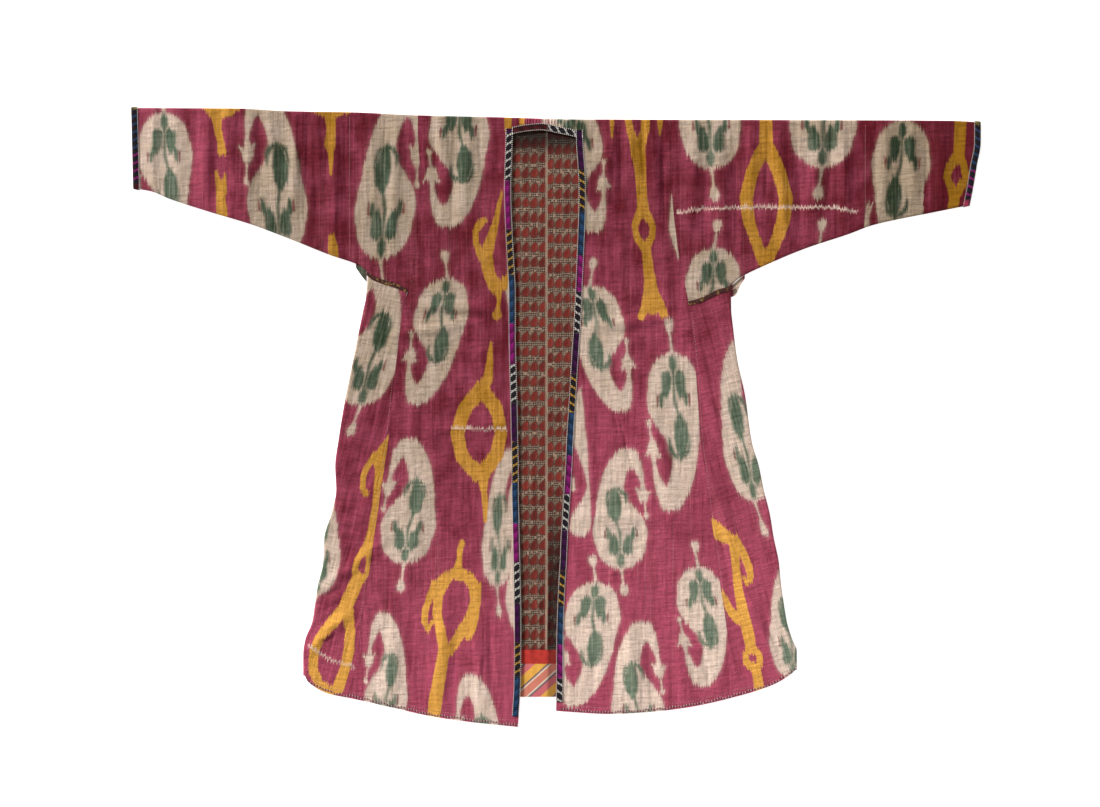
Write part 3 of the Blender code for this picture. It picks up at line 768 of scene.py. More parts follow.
class RobeDyes(bpy.types.PropertyGroup):
    """Linear colours of the dyes, threads and prints."""

    raspberry: colour_property("Raspberry", "Ground of the ikat", (0.430, 0.072, 0.125))
    wine: colour_property("Wine", "Deeper ground of the ikat", (0.105, 0.0065, 0.0135))
    cream: colour_property("Cream", "Undyed silk", (0.800, 0.610, 0.500))
    bone: colour_property("Bone", "Deeper undyed silk", (0.330, 0.245, 0.165))
    green: colour_property("Green", "Leaves and buds", (0.160, 0.215, 0.145))
    pine: colour_property("Pine", "Deeper green", (0.020, 0.035, 0.016))
    yellow: colour_property("Yellow", "Yellow figures", (0.830, 0.400, 0.075))
    ochre: colour_property("Ochre", "Deeper yellow", (0.270, 0.118, 0.005))
    brown: colour_property("Brown", "Small dashes in a boteh", (0.150, 0.018, 0.022))
    tan: colour_property("Tan", "Ground of the printed lining", (0.270, 0.175, 0.120))
    madder: colour_property("Madder", "Botehs of the printed lining", (0.240, 0.026, 0.016))
    red: colour_property("Red", "Cotton band at the hem", (0.500, 0.035, 0.025))


class Value:
    """A socket of a node tree as a number in an expression."""

    def __init__(self, graph, socket):
        self.graph = graph
        self.socket = socket

    def maths(self, operation, *others):
        sockets = dict(enumerate((self, *others)))
        return self.graph.node("Math", {"operation": operation}, sockets)

    def __add__(self, other):
        return self.maths("ADD", other)

    __radd__ = __add__

    def __sub__(self, other):
        return self.maths("SUBTRACT", other)

    def __rsub__(self, other):
        return self.graph.node("Math", {"operation": "SUBTRACT"}, {0: other, 1: self})

    def __mul__(self, other):
        return self.maths("MULTIPLY", other)

    __rmul__ = __mul__

    def __truediv__(self, other):
        return self.maths("DIVIDE", other)

    def __pow__(self, other):
        return self.maths("POWER", other)

    def __abs__(self):
        return self.maths("ABSOLUTE")

    def sine(self):
        return self.maths("SINE")

    def floor(self):
        return self.maths("FLOOR")

    def fraction(self):
        return self.maths("FRACT")

    def least(self, other):
        return self.maths("MINIMUM", other)

    def most(self, other):
        return self.maths("MAXIMUM", other)

    def rise(self, low, high):
        """From 0 at low to 1 at high, smoothly."""
        sockets = {"Value": self, "From Min": low, "From Max": high}
        return self.graph.node("MapRange", {"interpolation_type": "SMOOTHSTEP"}, sockets)


class Graph:
    """A new material's node tree, and its Principled shader."""

    def __init__(self, name, roughness=0.7, **constants):
        self.material = bpy.data.materials.new(name)
        self.material.use_nodes = True
        self.tree = self.material.node_tree
        self.shader = self.tree.nodes["Principled BSDF"]
        self.shader.inputs["Roughness"].default_value = roughness
        for socket, value in constants.items():
            self.shader.inputs[socket.replace("_", " ")].default_value = value

    def feed(self, socket, value):
        if isinstance(value, Value):
            self.tree.links.new(value.socket, socket)
        elif socket.type == "RGBA" and not isinstance(value, float) and len(value) == 3:
            socket.default_value = (*value, 1.0)
        else:
            socket.default_value = value

    def node(self, kind, settings=None, sockets=None, output=0):
        """A node of this type, with its settings made first and its sockets fed after."""
        made = self.tree.nodes.new("ShaderNode" + kind)
        for name, setting in (settings or {}).items():
            setattr(made, name, setting)
        for name, value in (sockets or {}).items():
            self.feed(made.inputs[name], value)
        return Value(self, made.outputs[output])

    def attribute(self, name):
        """The three numbers of a point attribute."""
        vector = self.node("Attribute", {"attribute_name": name}, output=1)
        split = self.tree.nodes.new("ShaderNodeSeparateXYZ")
        self.feed(split.inputs[0], vector)
        return [Value(self, output) for output in split.outputs]

    def join(self, x, y, z=0.0):
        return self.node("CombineXYZ", None, {"X": x, "Y": y, "Z": z})

    def noise(self, x, y, detail=2.0, roughness=0.5):
        sockets = {"Vector": self.join(x, y), "Scale": 1.0, "Detail": detail, "Roughness": roughness}
        return self.node("TexNoise", {"noise_dimensions": "2D"}, sockets)

    def chance(self, x, y):
        sockets = {"Vector": self.join(x, y)}
        return self.node("TexWhiteNoise", {"noise_dimensions": "2D"}, sockets)

    def mix(self, share, first, second, way="MIX"):
        settings = {"data_type": "RGBA", "blend_type": way}
        return self.node("Mix", settings, {0: share, 6: first, 7: second}, output=2)

    def shade(self, colour, value):
        """The colour made lighter or darker by a number."""
        sockets = {0: colour, "Scale": value}
        return self.node("VectorMath", {"operation": "SCALE"}, sockets)

    def colour(self, value):
        self.feed(self.shader.inputs["Base Color"], value)

    def relief(self, height, distance, strength=1.0):
        sockets = {"Strength": strength, "Distance": distance, "Height": height}
        self.feed(self.shader.inputs["Normal"], self.node("Bump", None, sockets))


def ikat_material(sizes, dyes):
    """Warp-dyed silk and cotton. The edges of the figures slip from bundle to bundle."""
    cloth = Graph("warp_ikat", 0.62, Specular_IOR_Level=0.1)
    u, v, tone = cloth.attribute("weave")
    thread = cloth.noise(u / sizes.thread, v / 0.050, 1.0)
    fine = cloth.noise(u / (0.4 * sizes.thread), v / 0.030, 0.0)
    group = cloth.noise(u / 0.0085, v / 0.110, 1.0)
    fuzz = cloth.noise(u / 0.0009, v / 0.0024, 1.0)
    slip = sizes.feather / BUNDLE
    shift = (thread - 0.5) * slip + (fine - 0.5) * (0.4 * slip) + (group - 0.5) * (0.3 * slip)

    def dyed(name, soft, inset=0.0):
        field, slope, _ = cloth.attribute(name)
        edge = field + slope * shift + (fuzz - 0.5) * 1.6 - inset
        return edge.rise(-soft, soft)

    broad = cloth.noise(u / 0.022, v / 0.300, 2.0)
    streak = cloth.noise(u / 0.0036, v / 0.120, 3.0, 0.6)
    cloudy = cloth.noise(u / 0.040, v / 0.050, 3.0)
    # The tone holds how deep the dyes are and, above the neck braid, a painted shading of the gathers.
    deep = (tone + (broad - 0.5) * 0.9 + (streak - 0.5) * 0.55 + (cloudy - 0.5) * 1.4).rise(-0.25, 1.25)
    warm = (tone + (cloudy - 0.5) * 1.1 + (streak - 0.5) * 0.6).rise(-0.25, 1.25)
    ground = cloth.mix(deep, tuple(dyes.raspberry), tuple(dyes.wine))
    cream = cloth.mix(warm, tuple(dyes.cream), tuple(dyes.bone))
    green = cloth.mix(warm, tuple(dyes.green), tuple(dyes.pine))
    yellow = cloth.mix(warm, tuple(dyes.yellow), tuple(dyes.ochre))
    ground = cloth.mix(dyed("cream", 2.4, -1.4) * 0.16, ground, cream)
    figured = cloth.mix(dyed("cream", 0.6), ground, cloth.mix(0.25, cream, ground))
    figured = cloth.mix(dyed("cream", 1.4, 1.6), figured, cream)
    washed = dyed("green", 3.6, -1.6) * cloudy.rise(0.35, 0.7) * 0.45
    figured = cloth.mix(washed, figured, cloth.mix(0.5, green, cream))
    figured = cloth.mix(dyed("green", 1.8) * (0.62 + 0.7 * streak).least(1.0), figured, green)
    figured = cloth.mix(dyed("brown", 0.8) * 0.8, figured, tuple(dyes.brown))
    figured = cloth.mix(dyed("yellow", 0.6), figured, yellow)
    figured = cloth.mix(dyed("pale", 1.0) * 0.72, figured, tuple(dyes.cream))
    hair = cloth.noise(u / 0.0011, v / 0.6, 0.0).rise(0.80, 0.86)
    figured = cloth.mix(hair * 0.14, figured, cream)
    weft = cloth.noise(u / 0.050, v / 0.0021, 2.0)
    grain = cloth.noise(u / 0.0017, v / 0.0017, 2.0)
    warp = cloth.noise(u / 0.0013, v / 0.070, 2.0)
    worn = 1.02 + (weft - 0.5) * 0.45 + (grain - 0.5) * 0.7 + (warp - 0.5) * 0.3 + (cloudy - 0.5) * 0.6
    cloth.colour(cloth.shade(figured, worn.most(0.4)))
    cloth.feed(cloth.shader.inputs["Roughness"], 0.5 + 0.25 * weft)
    ribs = (v * (2 * math.pi / sizes.rib)).sine()
    wrinkles = cloth.noise(u / 0.030, v / 0.0075, 3.0)
    pleats = cloth.noise(u / 0.0085, v / 0.060, 2.0)
    cloth.relief(0.10 * ribs + 0.5 * weft + 0.4 * grain + 2.8 * wrinkles + 1.8 * pleats, 0.0011, 1.0)
    return cloth.material


# The repeat of the lining's printing block
BLOCK_WIDE = 0.0171
BLOCK_TALL = 0.0298
MM = 1000


def print_material(dyes):
    """Block-printed cotton: rows of small botehs between rows of dark figures."""
    cloth = Graph("block_print", 0.85, Specular_IOR_Level=0.2)
    u, v, painted_shadow = cloth.attribute("weave")
    wander = cloth.noise(u / 0.02, v / 0.02, 1.0)
    left = u.rise(-0.0004, 0.0004)
    across = u / BLOCK_WIDE + (wander - 0.5) * 0.25 + left * 0.12
    along = v / BLOCK_TALL + (wander - 0.5) * 0.12 + left * 0.40
    x = (across.fraction() - 0.5) * (BLOCK_WIDE * MM)
    y = (along.fraction() - 0.40) * (BLOCK_TALL * MM)
    blot = cloth.noise(u / 0.0016, v / 0.0016, 2.0)
    lean = x - y * 0.10 - 1.6 * (y / 8).rise(0.2, 1.4)
    girth = 7.0 - 0.26 * y
    edge = (lean / girth) ** 2 + (y / 9.6) ** 2 + (blot - 0.5) * 2.4
    boteh = 1 - edge.rise(0.80, 1.0)
    core = 1 - edge.rise(0.05, 0.6)
    row = cloth.chance(across.floor(), along.floor())
    dark = tuple(c * 0.35 for c in dyes.madder)
    red = cloth.mix((core * 0.4 + row * 0.6).least(0.9), tuple(dyes.madder), dark)
    cell_x = u / 0.0036 + left * 0.5
    cell_y = along * 7.0
    pick = cloth.chance(cell_x.floor(), cell_y.floor())
    spot = (cell_x.fraction() - 0.5) ** 2 + (cell_y.fraction() - 0.5) ** 2 + (blot - 0.5) * 0.45
    marks = (1 - spot.rise(0.15, 0.23)) * pick.rise(0.10, 0.14)
    from_row = abs(along.fraction() - 0.90)
    band = 1 - from_row.least(1 - from_row).rise(0.13, 0.17)
    ground = cloth.mix(blot.rise(0.4, 0.8) * 0.6, tuple(dyes.tan), tuple(c * 0.42 for c in dyes.tan))
    ground = cloth.mix(band * 0.35, ground, tuple(min(1.0, c * 1.45) for c in dyes.tan))
    printed = cloth.mix(marks * (0.45 + 0.5 * band), ground, (0.018, 0.013, 0.012))
    printed = cloth.mix((1 - edge.rise(1.1, 1.6)) * 0.9, printed, (0.022, 0.010, 0.009))
    printed = cloth.mix(boteh * 0.94, printed, red)
    blush = x.rise(1.0, 5.0) * boteh * blot.rise(0.45, 0.6)
    printed = cloth.mix(blush * 0.6, printed, (0.330, 0.090, 0.075))
    seam = 1 - abs(u + 0.001).rise(0.0022, 0.0030)
    printed = cloth.mix(seam * 0.9, printed, ground)
    weft = cloth.noise(u / 0.03, v / 0.0011, 1.0)
    warp = cloth.noise(u / 0.0011, v / 0.03, 1.0)
    # The weave's third number darkens the print: painted shadow under the neck edge and beside the left
    # front's edge.
    worn = (0.60 + 0.4 * weft + 0.4 * warp) * (1 - 0.86 * painted_shadow)
    cloth.colour(cloth.shade(printed, worn))
    cloth.relief(weft + warp + 2.5 * wander, 0.0006, 0.7)
    return cloth.material


def plain_material(name, colour, dark=0.7):
    """Plain cotton with a fine weave."""
    cloth = Graph(name, 0.85, Specular_IOR_Level=0.25)
    u, v, painted_shadow = cloth.attribute("weave")
    weft = cloth.noise(u / 0.02, v / 0.0008, 1.0)
    warp = cloth.noise(u / 0.0008, v / 0.02, 1.0)
    cloudy = cloth.noise(u / 0.012, v / 0.012, 3.0)
    plain = cloth.mix(cloudy.rise(0.3, 0.75), colour, tuple(c * dark for c in colour))
    # The weave's third number darkens the cotton: painted shadow beside the left front's edge.
    cloth.colour(cloth.shade(plain, (0.8 + 0.2 * weft + 0.2 * warp) * (1 - 0.6 * painted_shadow)))
    cloth.relief(weft + warp, 0.0004, 0.6)
    return cloth.material


# The stripes of the hem's facing: how steep they are, where one starts, and their repeat
STRIPE_RISE = 0.9
STRIPE_START = 0.3675
STRIPE_REPEAT = 0.055


def striped_material():
    """Striped cotton of the hem's facing: yellow, grey, white and salmon."""
    cloth = Graph("striped_weave", 0.85, Specular_IOR_Level=0.25)
    u, v, painted_shadow = cloth.attribute("weave")
    across = (STRIPE_RISE * u - v) / math.hypot(STRIPE_RISE, 1)
    salmon, white, grey = (0.600, 0.190, 0.130), (0.700, 0.560, 0.430), (0.170, 0.110, 0.120)
    yellow, pink = (0.720, 0.360, 0.060), (0.560, 0.130, 0.140)
    stripes = (
        (0.0030, grey),
        (0.0060, white),
        (0.0200, salmon),
        (0.0230, white),
        (0.0265, grey),
        (0.0390, pink),
        (STRIPE_REPEAT, yellow),
    )
    place = ((across - STRIPE_START) / STRIPE_REPEAT).fraction() * STRIPE_REPEAT
    striped = cloth.mix(0.0, stripes[-1][1], stripes[-1][1])
    for end, colour in reversed(stripes[:-1]):
        striped = cloth.mix(place.rise(end - 0.0004, end + 0.0004), colour, striped)
    weft = cloth.noise(u / 0.02, v / 0.0008, 1.0)
    warp = cloth.noise(u / 0.0008, v / 0.02, 1.0)
    # The weave's third number darkens the stripes: painted shadow beside the left front's edge.
    cloth.colour(cloth.shade(striped, (0.72 + 0.28 * weft + 0.28 * warp) * (1 - 0.6 * painted_shadow)))
    cloth.relief(weft + warp, 0.0004, 0.6)
    return cloth.material


THREADS = {
    "plum": (0.060, 0.004, 0.062),
    "magenta": (0.330, 0.012, 0.190),
    "bone": (0.640, 0.600, 0.540),
    "gold": (0.560, 0.300, 0.040),
    "blue": (0.024, 0.070, 0.165),
    "garnet": (0.085, 0.006, 0.008),
    "olive": (0.160, 0.120, 0.035),
    "rose": (0.500, 0.050, 0.120),
    "ink": (0.014, 0.010, 0.014),
}


# Along a braid: from stitch to stitch, from hook to hook, and from dark to dark
STITCH_PITCH = 0.0015
HOOK_PITCH = 0.0165
HOOK_SLANT = 0.36
SHADE_PITCH = 0.021


def braid_material():
    """Silk braid of small slanted stitches, in plain blocks and blocks of hooks on black."""
    silk = Graph("stitched_silk", 0.6, Specular_IOR_Level=0.1)
    along, across, hooks = silk.attribute("braid")
    main = silk.node("Attribute", {"attribute_name": "silk"}, output=0)
    slant = along / STITCH_PITCH + abs(across) * 1.4
    stitch = abs((slant.fraction() - 0.5) * 2)
    picked = silk.chance(slant.floor(), (across * 2.5).floor())
    place = ((along / HOOK_PITCH + across * HOOK_SLANT).fraction() - 0.5) * 2
    bar = 1 - abs(place).rise(0.07, 0.19)
    figure = bar
    for side in (1, -1):
        arm = 1 - abs(across - side * 0.52).rise(0.10, 0.22)
        past = place * side
        figure = figure + arm * past.rise(0.05, 0.1) * (1 - past.rise(0.42, 0.54))
    figure = figure.least(1.0)
    edge = abs(across).rise(0.80, 0.9)
    figured = silk.mix(figure * (1 - edge), THREADS["ink"], main)
    sweep = (along / SHADE_PITCH + across * 0.22).fraction()
    shaded = silk.mix(sweep.rise(0.1, 0.9) * 0.75 + picked * 0.2, main, silk.shade(main, 0.18))
    plain = silk.mix(across.rise(0.15, 0.6) * 0.6, shaded, THREADS["ink"])
    colour = silk.mix(hooks, plain, figured)
    silk.colour(silk.shade(colour, 0.65 + 0.5 * stitch))
    silk.relief(stitch, 0.0006, 0.8)
    return silk.material


def thread_material(name, colour):
    """Spun thread of the stitches and knots."""
    thread = Graph(name, 0.75, Sheen_Weight=0.1)
    place = thread.node("TexCoord", output=3)
    noise = thread.node("TexNoise", None, {"Vector": place, "Scale": 900.0, "Detail": 2.0})
    thread.colour(thread.mix(noise.rise(0.35, 0.7), colour, tuple(c * 0.62 for c in colour)))
    thread.relief(noise, 0.0002, 0.6)
    return thread.material


def edging_material():
    """Dark bias strip along an underarm slit, with bits of coloured thread."""
    cloth = Graph("bias_strip", 0.85, Specular_IOR_Level=0.1)
    u, v, _ = cloth.attribute("weave")
    bits = cloth.chance((u / 0.0016).floor(), (v / 0.0016).floor())
    patches = cloth.noise(u / 0.010, v / 0.010, 1.0)
    dark = cloth.mix(bits, (0.030, 0.012, 0.012), (0.085, 0.030, 0.024))
    warm = cloth.mix(bits.rise(0.4, 0.6), (0.300, 0.090, 0.030), (0.260, 0.160, 0.050))
    cloth.colour(cloth.mix(patches.rise(0.60, 0.70) * bits.rise(0.3, 0.5), dark, warm))
    cloth.relief(bits, 0.0004, 0.6)
    return cloth.material


def blend(low, high, share):
    return low + (high - low) * share


def smooth(share):
    share = np.clip(share, 0.0, 1.0)
    return share * share * (3 - 2 * share)


def read(rows, at, column):
    """The named column of a table at these places, on a smooth line through its rows."""
    rows = sorted(rows)
    knots = np.array([row[0] for row in rows])
    values = np.array([getattr(row, column) for row in rows])
    steps = np.diff(knots)
    rises = np.diff(values) / steps
    product = rises[:-1] * rises[1:]
    mean = 2 * product / np.where(product > 0, rises[:-1] + rises[1:], 1.0)
    slopes = np.concatenate([rises[:1], np.where(product > 0, mean, 0.0), rises[-1:]])
    at = np.clip(at, knots[0], knots[-1])
    left = np.clip(np.searchsorted(knots, at, side="right") - 1, 0, len(steps) - 1)
    step = steps[left]
    t = (at - knots[left]) / step
    start = values[left] * (1 + 2 * t) * (1 - t) ** 2 + slopes[left] * step * t * (1 - t) ** 2
    end = values[left + 1] * t * t * (3 - 2 * t) + slopes[left + 1] * step * t * t * (t - 1)
    return start + end


def ridges(x, y, folds):
    """The height of these folds at x, y."""
    height = np.zeros_like(x)
    for fold in folds:
        turn = math.radians(fold.turn)
        along = (y - fold.y) * math.cos(turn) - (x - fold.x) * math.sin(turn)
        across = (y - fold.y) * math.sin(turn) + (x - fold.x) * math.cos(turn)
        taper = np.maximum(0.0, 1 - (along / fold.reach) ** 2)
        height += fold.height * taper * np.exp(-((across / fold.half) ** 2))
    return height


def free_cloth(x, y):
    """From 0 at the braids and the slits to 1 where the cloth is free to fold."""
    free = np.ones_like(x)
    for half in HALVES:
        from_edge = np.abs(x - read(half.sections, y, "edge")) - BRAID_BAND
        from_cuff = np.abs(x - read(half.cuff, y, "x")) - BRAID_BAND
        from_slit = np.abs(y - read(half.sleeve, x, "y")) - EDGING_WIDTH - SLIT
        free *= smooth(from_edge / FADE) * smooth(from_cuff / FADE)
        beside = (np.abs(x) < abs(half.gusset[-1].x)) & (x * half.out > 0)
        free *= np.where(beside, smooth(from_slit / FADE), 1.0)
    return free


def rumple(x, y, wide, long, seed):
    """Smooth, even rumples of about this size, from -1 to 1."""
    lattice = np.random.default_rng(seed).uniform(-1, 1, (64, 64))
    across = x / wide + 31.7
    along = y / long + 17.3
    column = np.floor(across).astype(int)
    row = np.floor(along).astype(int)
    s = smooth(across - column)
    t = smooth(along - row)

    def corner(i, j):
        return lattice[(column + i) % 64, (row + j) % 64]

    return blend(blend(corner(0, 0), corner(1, 0), s), blend(corner(0, 1), corner(1, 1), s), t)


def puckers(x, y):
    """The quilting: small even rumples across and along the warp."""
    across = rumple(x, y, 0.016, 0.0080, 3) + 0.7 * rumple(x, y, 0.009, 0.030, 5)
    return MOST_PUCKER * across * (0.5 + 0.5 * rumple(x, y, 0.12, 0.15, 8))


def gathers(x, y):
    """The small gathers above the neck braid, which run over the fold."""
    braid_edge = read(NECK_EDGE, x, "y") + BRAID_ROW - NECK_ROW
    inside = (x > GATHERS.x) & (x < GATHERS.y) & (y > braid_edge + SEAM)
    drift = 0.0035 * rumple(x, y, 0.03, 0.05, 2)
    wave = 0.5 - 0.5 * np.cos(2 * math.pi * (x + drift - CENTRE) / (0.6 * GATHER_PITCH))
    ends = smooth((x - GATHERS.x) / 0.02) * smooth((GATHERS.y - x) / 0.02)
    return np.where(inside, GATHER_HEIGHT * wave * ends, 0.0)


def turned(spots, depth):
    """Points of the front at the spots, turned round a folded edge by each spot's angle.

    Spots are rows of x, y, outward x, outward y and angle, where pi is the back. depth is
    measured outwards from the cloth's face, and the plain lining side is at -WALL.
    """
    x, y, out_x, out_y, angle = spots
    free = free_cloth(x, y)
    folds = FOLD_RISE * np.minimum(ridges(x, y, FOLDS) * free, MOST_FOLD)
    face = np.where(depth > -WALL, 1.0, 0.0)
    fine = (CREASE_DEPTH * ridges(x, y, CREASES) + puckers(x, y)) * free + gathers(x, y)
    fine = np.maximum(fine, DEEPEST)
    top = WALL + LAYER_GAP + folds + face * (WALL + fine + depth)
    reach = (FOLD_RADIUS + depth) * np.sin(angle)
    height = blend(-depth, top, (1 + np.cos(angle)) / 2)
    return np.stack([x + out_x * reach, y + out_y * reach, height], axis=1)


def new_piece(name, data, materials):
    piece = bpy.data.objects.new(name, data)
    bpy.context.scene.collection.objects.link(piece)
    for material in materials:
        data.materials.append(material)
    data.shade_smooth()
    data.set_sharp_from_angle(angle=math.radians(50))
    return piece


def put(data, name, values, kind="FLOAT_VECTOR", field="vector"):
    """Stores one row of numbers for each point of a mesh."""
    layer = data.attributes.new(name, kind, "POINT")
    layer.data.foreach_set(field, np.asarray(values, np.float32).ravel())


def sheet_mesh(across, along, place, missing=None):
    """A closed wall from a grid: place(column, row, inner) gives all the points at once.

    Returns the mesh with each point's column, row, and whether it is on the inner side.
    """
    mesh = bmesh.new()
    bmesh.ops.create_grid(mesh, x_segments=across - 1, y_segments=along - 1, size=0.5)
    if missing:
        cut = [
            face
            for face in mesh.faces
            if missing(
                round((min(v.co.x for v in face.verts) + 0.5) * (across - 1)),
                round((min(v.co.y for v in face.verts) + 0.5) * (along - 1)),
            )
        ]
        bmesh.ops.delete(mesh, geom=cut, context="FACES")
    grown = bmesh.ops.extrude_face_region(mesh, geom=mesh.faces[:])
    inner = [item for item in grown["geom"] if isinstance(item, bmesh.types.BMVert)]
    bmesh.ops.translate(mesh, verts=inner, vec=(0.0, 0.0, -1.0))
    data = bpy.data.meshes.new("wall")
    mesh.to_mesh(data)
    flat = np.empty(len(data.vertices) * 3, np.float32)
    data.vertices.foreach_get("co", flat)
    flat = flat.reshape(-1, 3)
    column = np.rint((flat[:, 0] + 0.5) * (across - 1)).astype(int)
    row = np.rint((flat[:, 1] + 0.5) * (along - 1)).astype(int)
    inside = flat[:, 2] < -0.5
    data.vertices.foreach_set("co", place(column, row, inside).astype(np.float32).ravel())
    mesh.clear()
    mesh.from_mesh(data)
    bmesh.ops.recalc_face_normals(mesh, faces=mesh.faces[:])
    if mesh.calc_volume(signed=True) < 0:
        bmesh.ops.reverse_faces(mesh, faces=mesh.faces[:])
    mesh.to_mesh(data)
    mesh.free()
    return data, column, row, inside


def stroke_field(x, y, points):
    """How far inside a brush stroke each place lies, in bundles."""
    best = np.full(x.shape, -FAR)
    for (ax, ay, ar), (bx, by, br) in zip(points, points[1:]):
        dx = bx - ax
        dy = by - ay
        share = np.clip(((x - ax) * dx + (y - ay) * dy) / (dx * dx + dy * dy), 0, 1)
        gone = np.hypot(x - ax - share * dx, y - ay - share * dy)
        best = np.maximum(best, ar + (br - ar) * share - gone)
    return best


def dye_field(pattern, x, y, dye, hang):
    """How far inside the figures of one dye each place of the board lies, in bundles.

    A boteh's stem hangs along the warp, which leans by hang bundles in each bundle's height.
    """
    best = np.full(x.shape, -FAR)
    for item in pattern:
        if isinstance(item, Mark):
            if item.dye != dye:
                continue
            rows = np.array(item.points)
            low = rows[:, :2].min(0) - FAR
            high = rows[:, :2].max(0) + FAR
            near = np.nonzero((x > low[0]) & (x < high[0]) & (y > low[1]) & (y < high[1]))[0]
            best[near] = np.maximum(best[near], stroke_field(x[near], y[near], item.points))
            continue
        up = (item.y - y) * item.way * BOTEH_TALL / item.tall
        stem = hang * item.way * item.tall * np.minimum(up, 0)
        shift = (item.lean * np.maximum(up, 0) + stem) / BOTEH_TALL
        out = (x - item.x - shift) * item.side * BOTEH_WIDE / item.wide
        near = np.nonzero((np.abs(out) < 50) & (up > -45) & (up < 145))[0]
        for mark in BOTEH_PARTS:
            if mark.dye == dye or (mark.dye == "hook" and item.hook and dye == "cream"):
                field = stroke_field(out[near], up[near], mark.points) * item.wide / BOTEH_WIDE
                best[near] = np.maximum(best[near], field)
    return np.clip(best, -FAR, FAR)


def dye_cloth(data, name, points, weave):
    """Stores the weave's places and the dyed figures on a piece of ikat."""
    lean = math.radians(LEANS.get(name, 0))
    u, v = weave
    if "sleeve" in name:
        tone = read(SLEEVE_TONES, points[:, 0], "tone")
    else:
        side = smooth((points[:, 0] + 0.1) / 0.2)
        tone = blend(*(read(BODY_TONES, points[:, 1], part) for part in ("right", "left")), side)
    # Paler on the crests of the neck gathers and deeper between them: painted shading that follows their
    # relief.
    tone = tone - 0.9 * gathers(points[:, 0], points[:, 1]) / GATHER_HEIGHT
    across = u * math.cos(lean) - v * math.sin(lean)
    along = v * math.cos(lean) + u * math.sin(lean)
    put(data, "weave", np.stack([across, along, tone], axis=1))
    x = (points[:, 0] - BOARD.x) / BUNDLE
    y = (BOARD.y - points[:, 1]) / BUNDLE
    for dye in DYES:
        field = dye_field(PATTERN[name], x, y, dye, math.tan(lean))
        slipped = dye_field(PATTERN[name], x + math.sin(lean), y - math.cos(lean), dye, math.tan(lean))
        put(data, dye, np.stack([field, slipped - field, np.zeros(len(x))], axis=1))


def steps_between(start, end, longest):
    """Even steps from start to end, with both."""
    return np.linspace(start, end, max(2, math.ceil(abs(end - start) / longest) + 1))


def cut_size(weave, wanted, column, row):
    """Width, length and area of the flat piece of cloth, from its weave."""
    u, v = (part[wanted] for part in weave)
    column = column[wanted]
    row = row[wanted]
    area = 0.0
    rows = np.unique(row)
    widths = [np.ptp(u[row == at]) for at in rows]
    places = [v[row == at].mean() for at in rows]
    for index in range(len(rows) - 1):
        area += abs(places[index + 1] - places[index]) * (widths[index] + widths[index + 1]) / 2
    return float(np.ptp(u)), float(np.ptp(v)), float(area)


def declare(piece, node, weave_size):
    """Attaches the piece to the root body and hides the solid that it replaces. The size of its flat cut is
    passed in but not kept.
    """
    width, length, area = weave_size
    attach(piece, "root")
    if node:
        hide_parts(node)
    area = min(max(area, 0.301 * width * length), width * length)


def row_height(half, nominal, x, hem=None):
    """The height of a row of the body at x. The lowest rows bend until they meet the hem."""
    share = (nominal - HEM_BEND) / (HEM_ROW - HEM_BEND)
    low = blend(HEM_BEND, read(half.hem, x, "y") if hem is None else hem, share)
    return np.where(nominal >= HEM_BEND, nominal, low)


PANEL, BAND, NECK = 0, 1, 2
FRONT, RISE, TURN, BACK = 0, 1, 2, 3
TURN_ANGLES = [math.pi * step / 8 for step in range(9)]


def rows_of(*groups):
    """Rows or columns as two arrays: the kind of each, and its place within its kind."""
    kinds = np.concatenate([np.full(len(places), kind) for kind, places in groups])
    return kinds, np.concatenate([np.asarray(places, float) for _, places in groups])


def body_x(half, nominal, edge_nominal, kind, share):
    """The x of a column of a body panel, from its outer seam to the back seam."""
    seam = read(half.sections, nominal, "seam") - half.out * SEAM / 2
    edge = read(half.sections, edge_nominal, "edge")
    band = edge + half.out * BRAID_BAND
    start = read(half.sections, NECK_ROW, "edge")
    centre = CENTRE + half.out * SEAM / 2
    across = np.where(kind == PANEL, blend(seam, band, share), blend(band, edge, share))
    return np.where(kind == NECK, blend(start, centre, share), across)


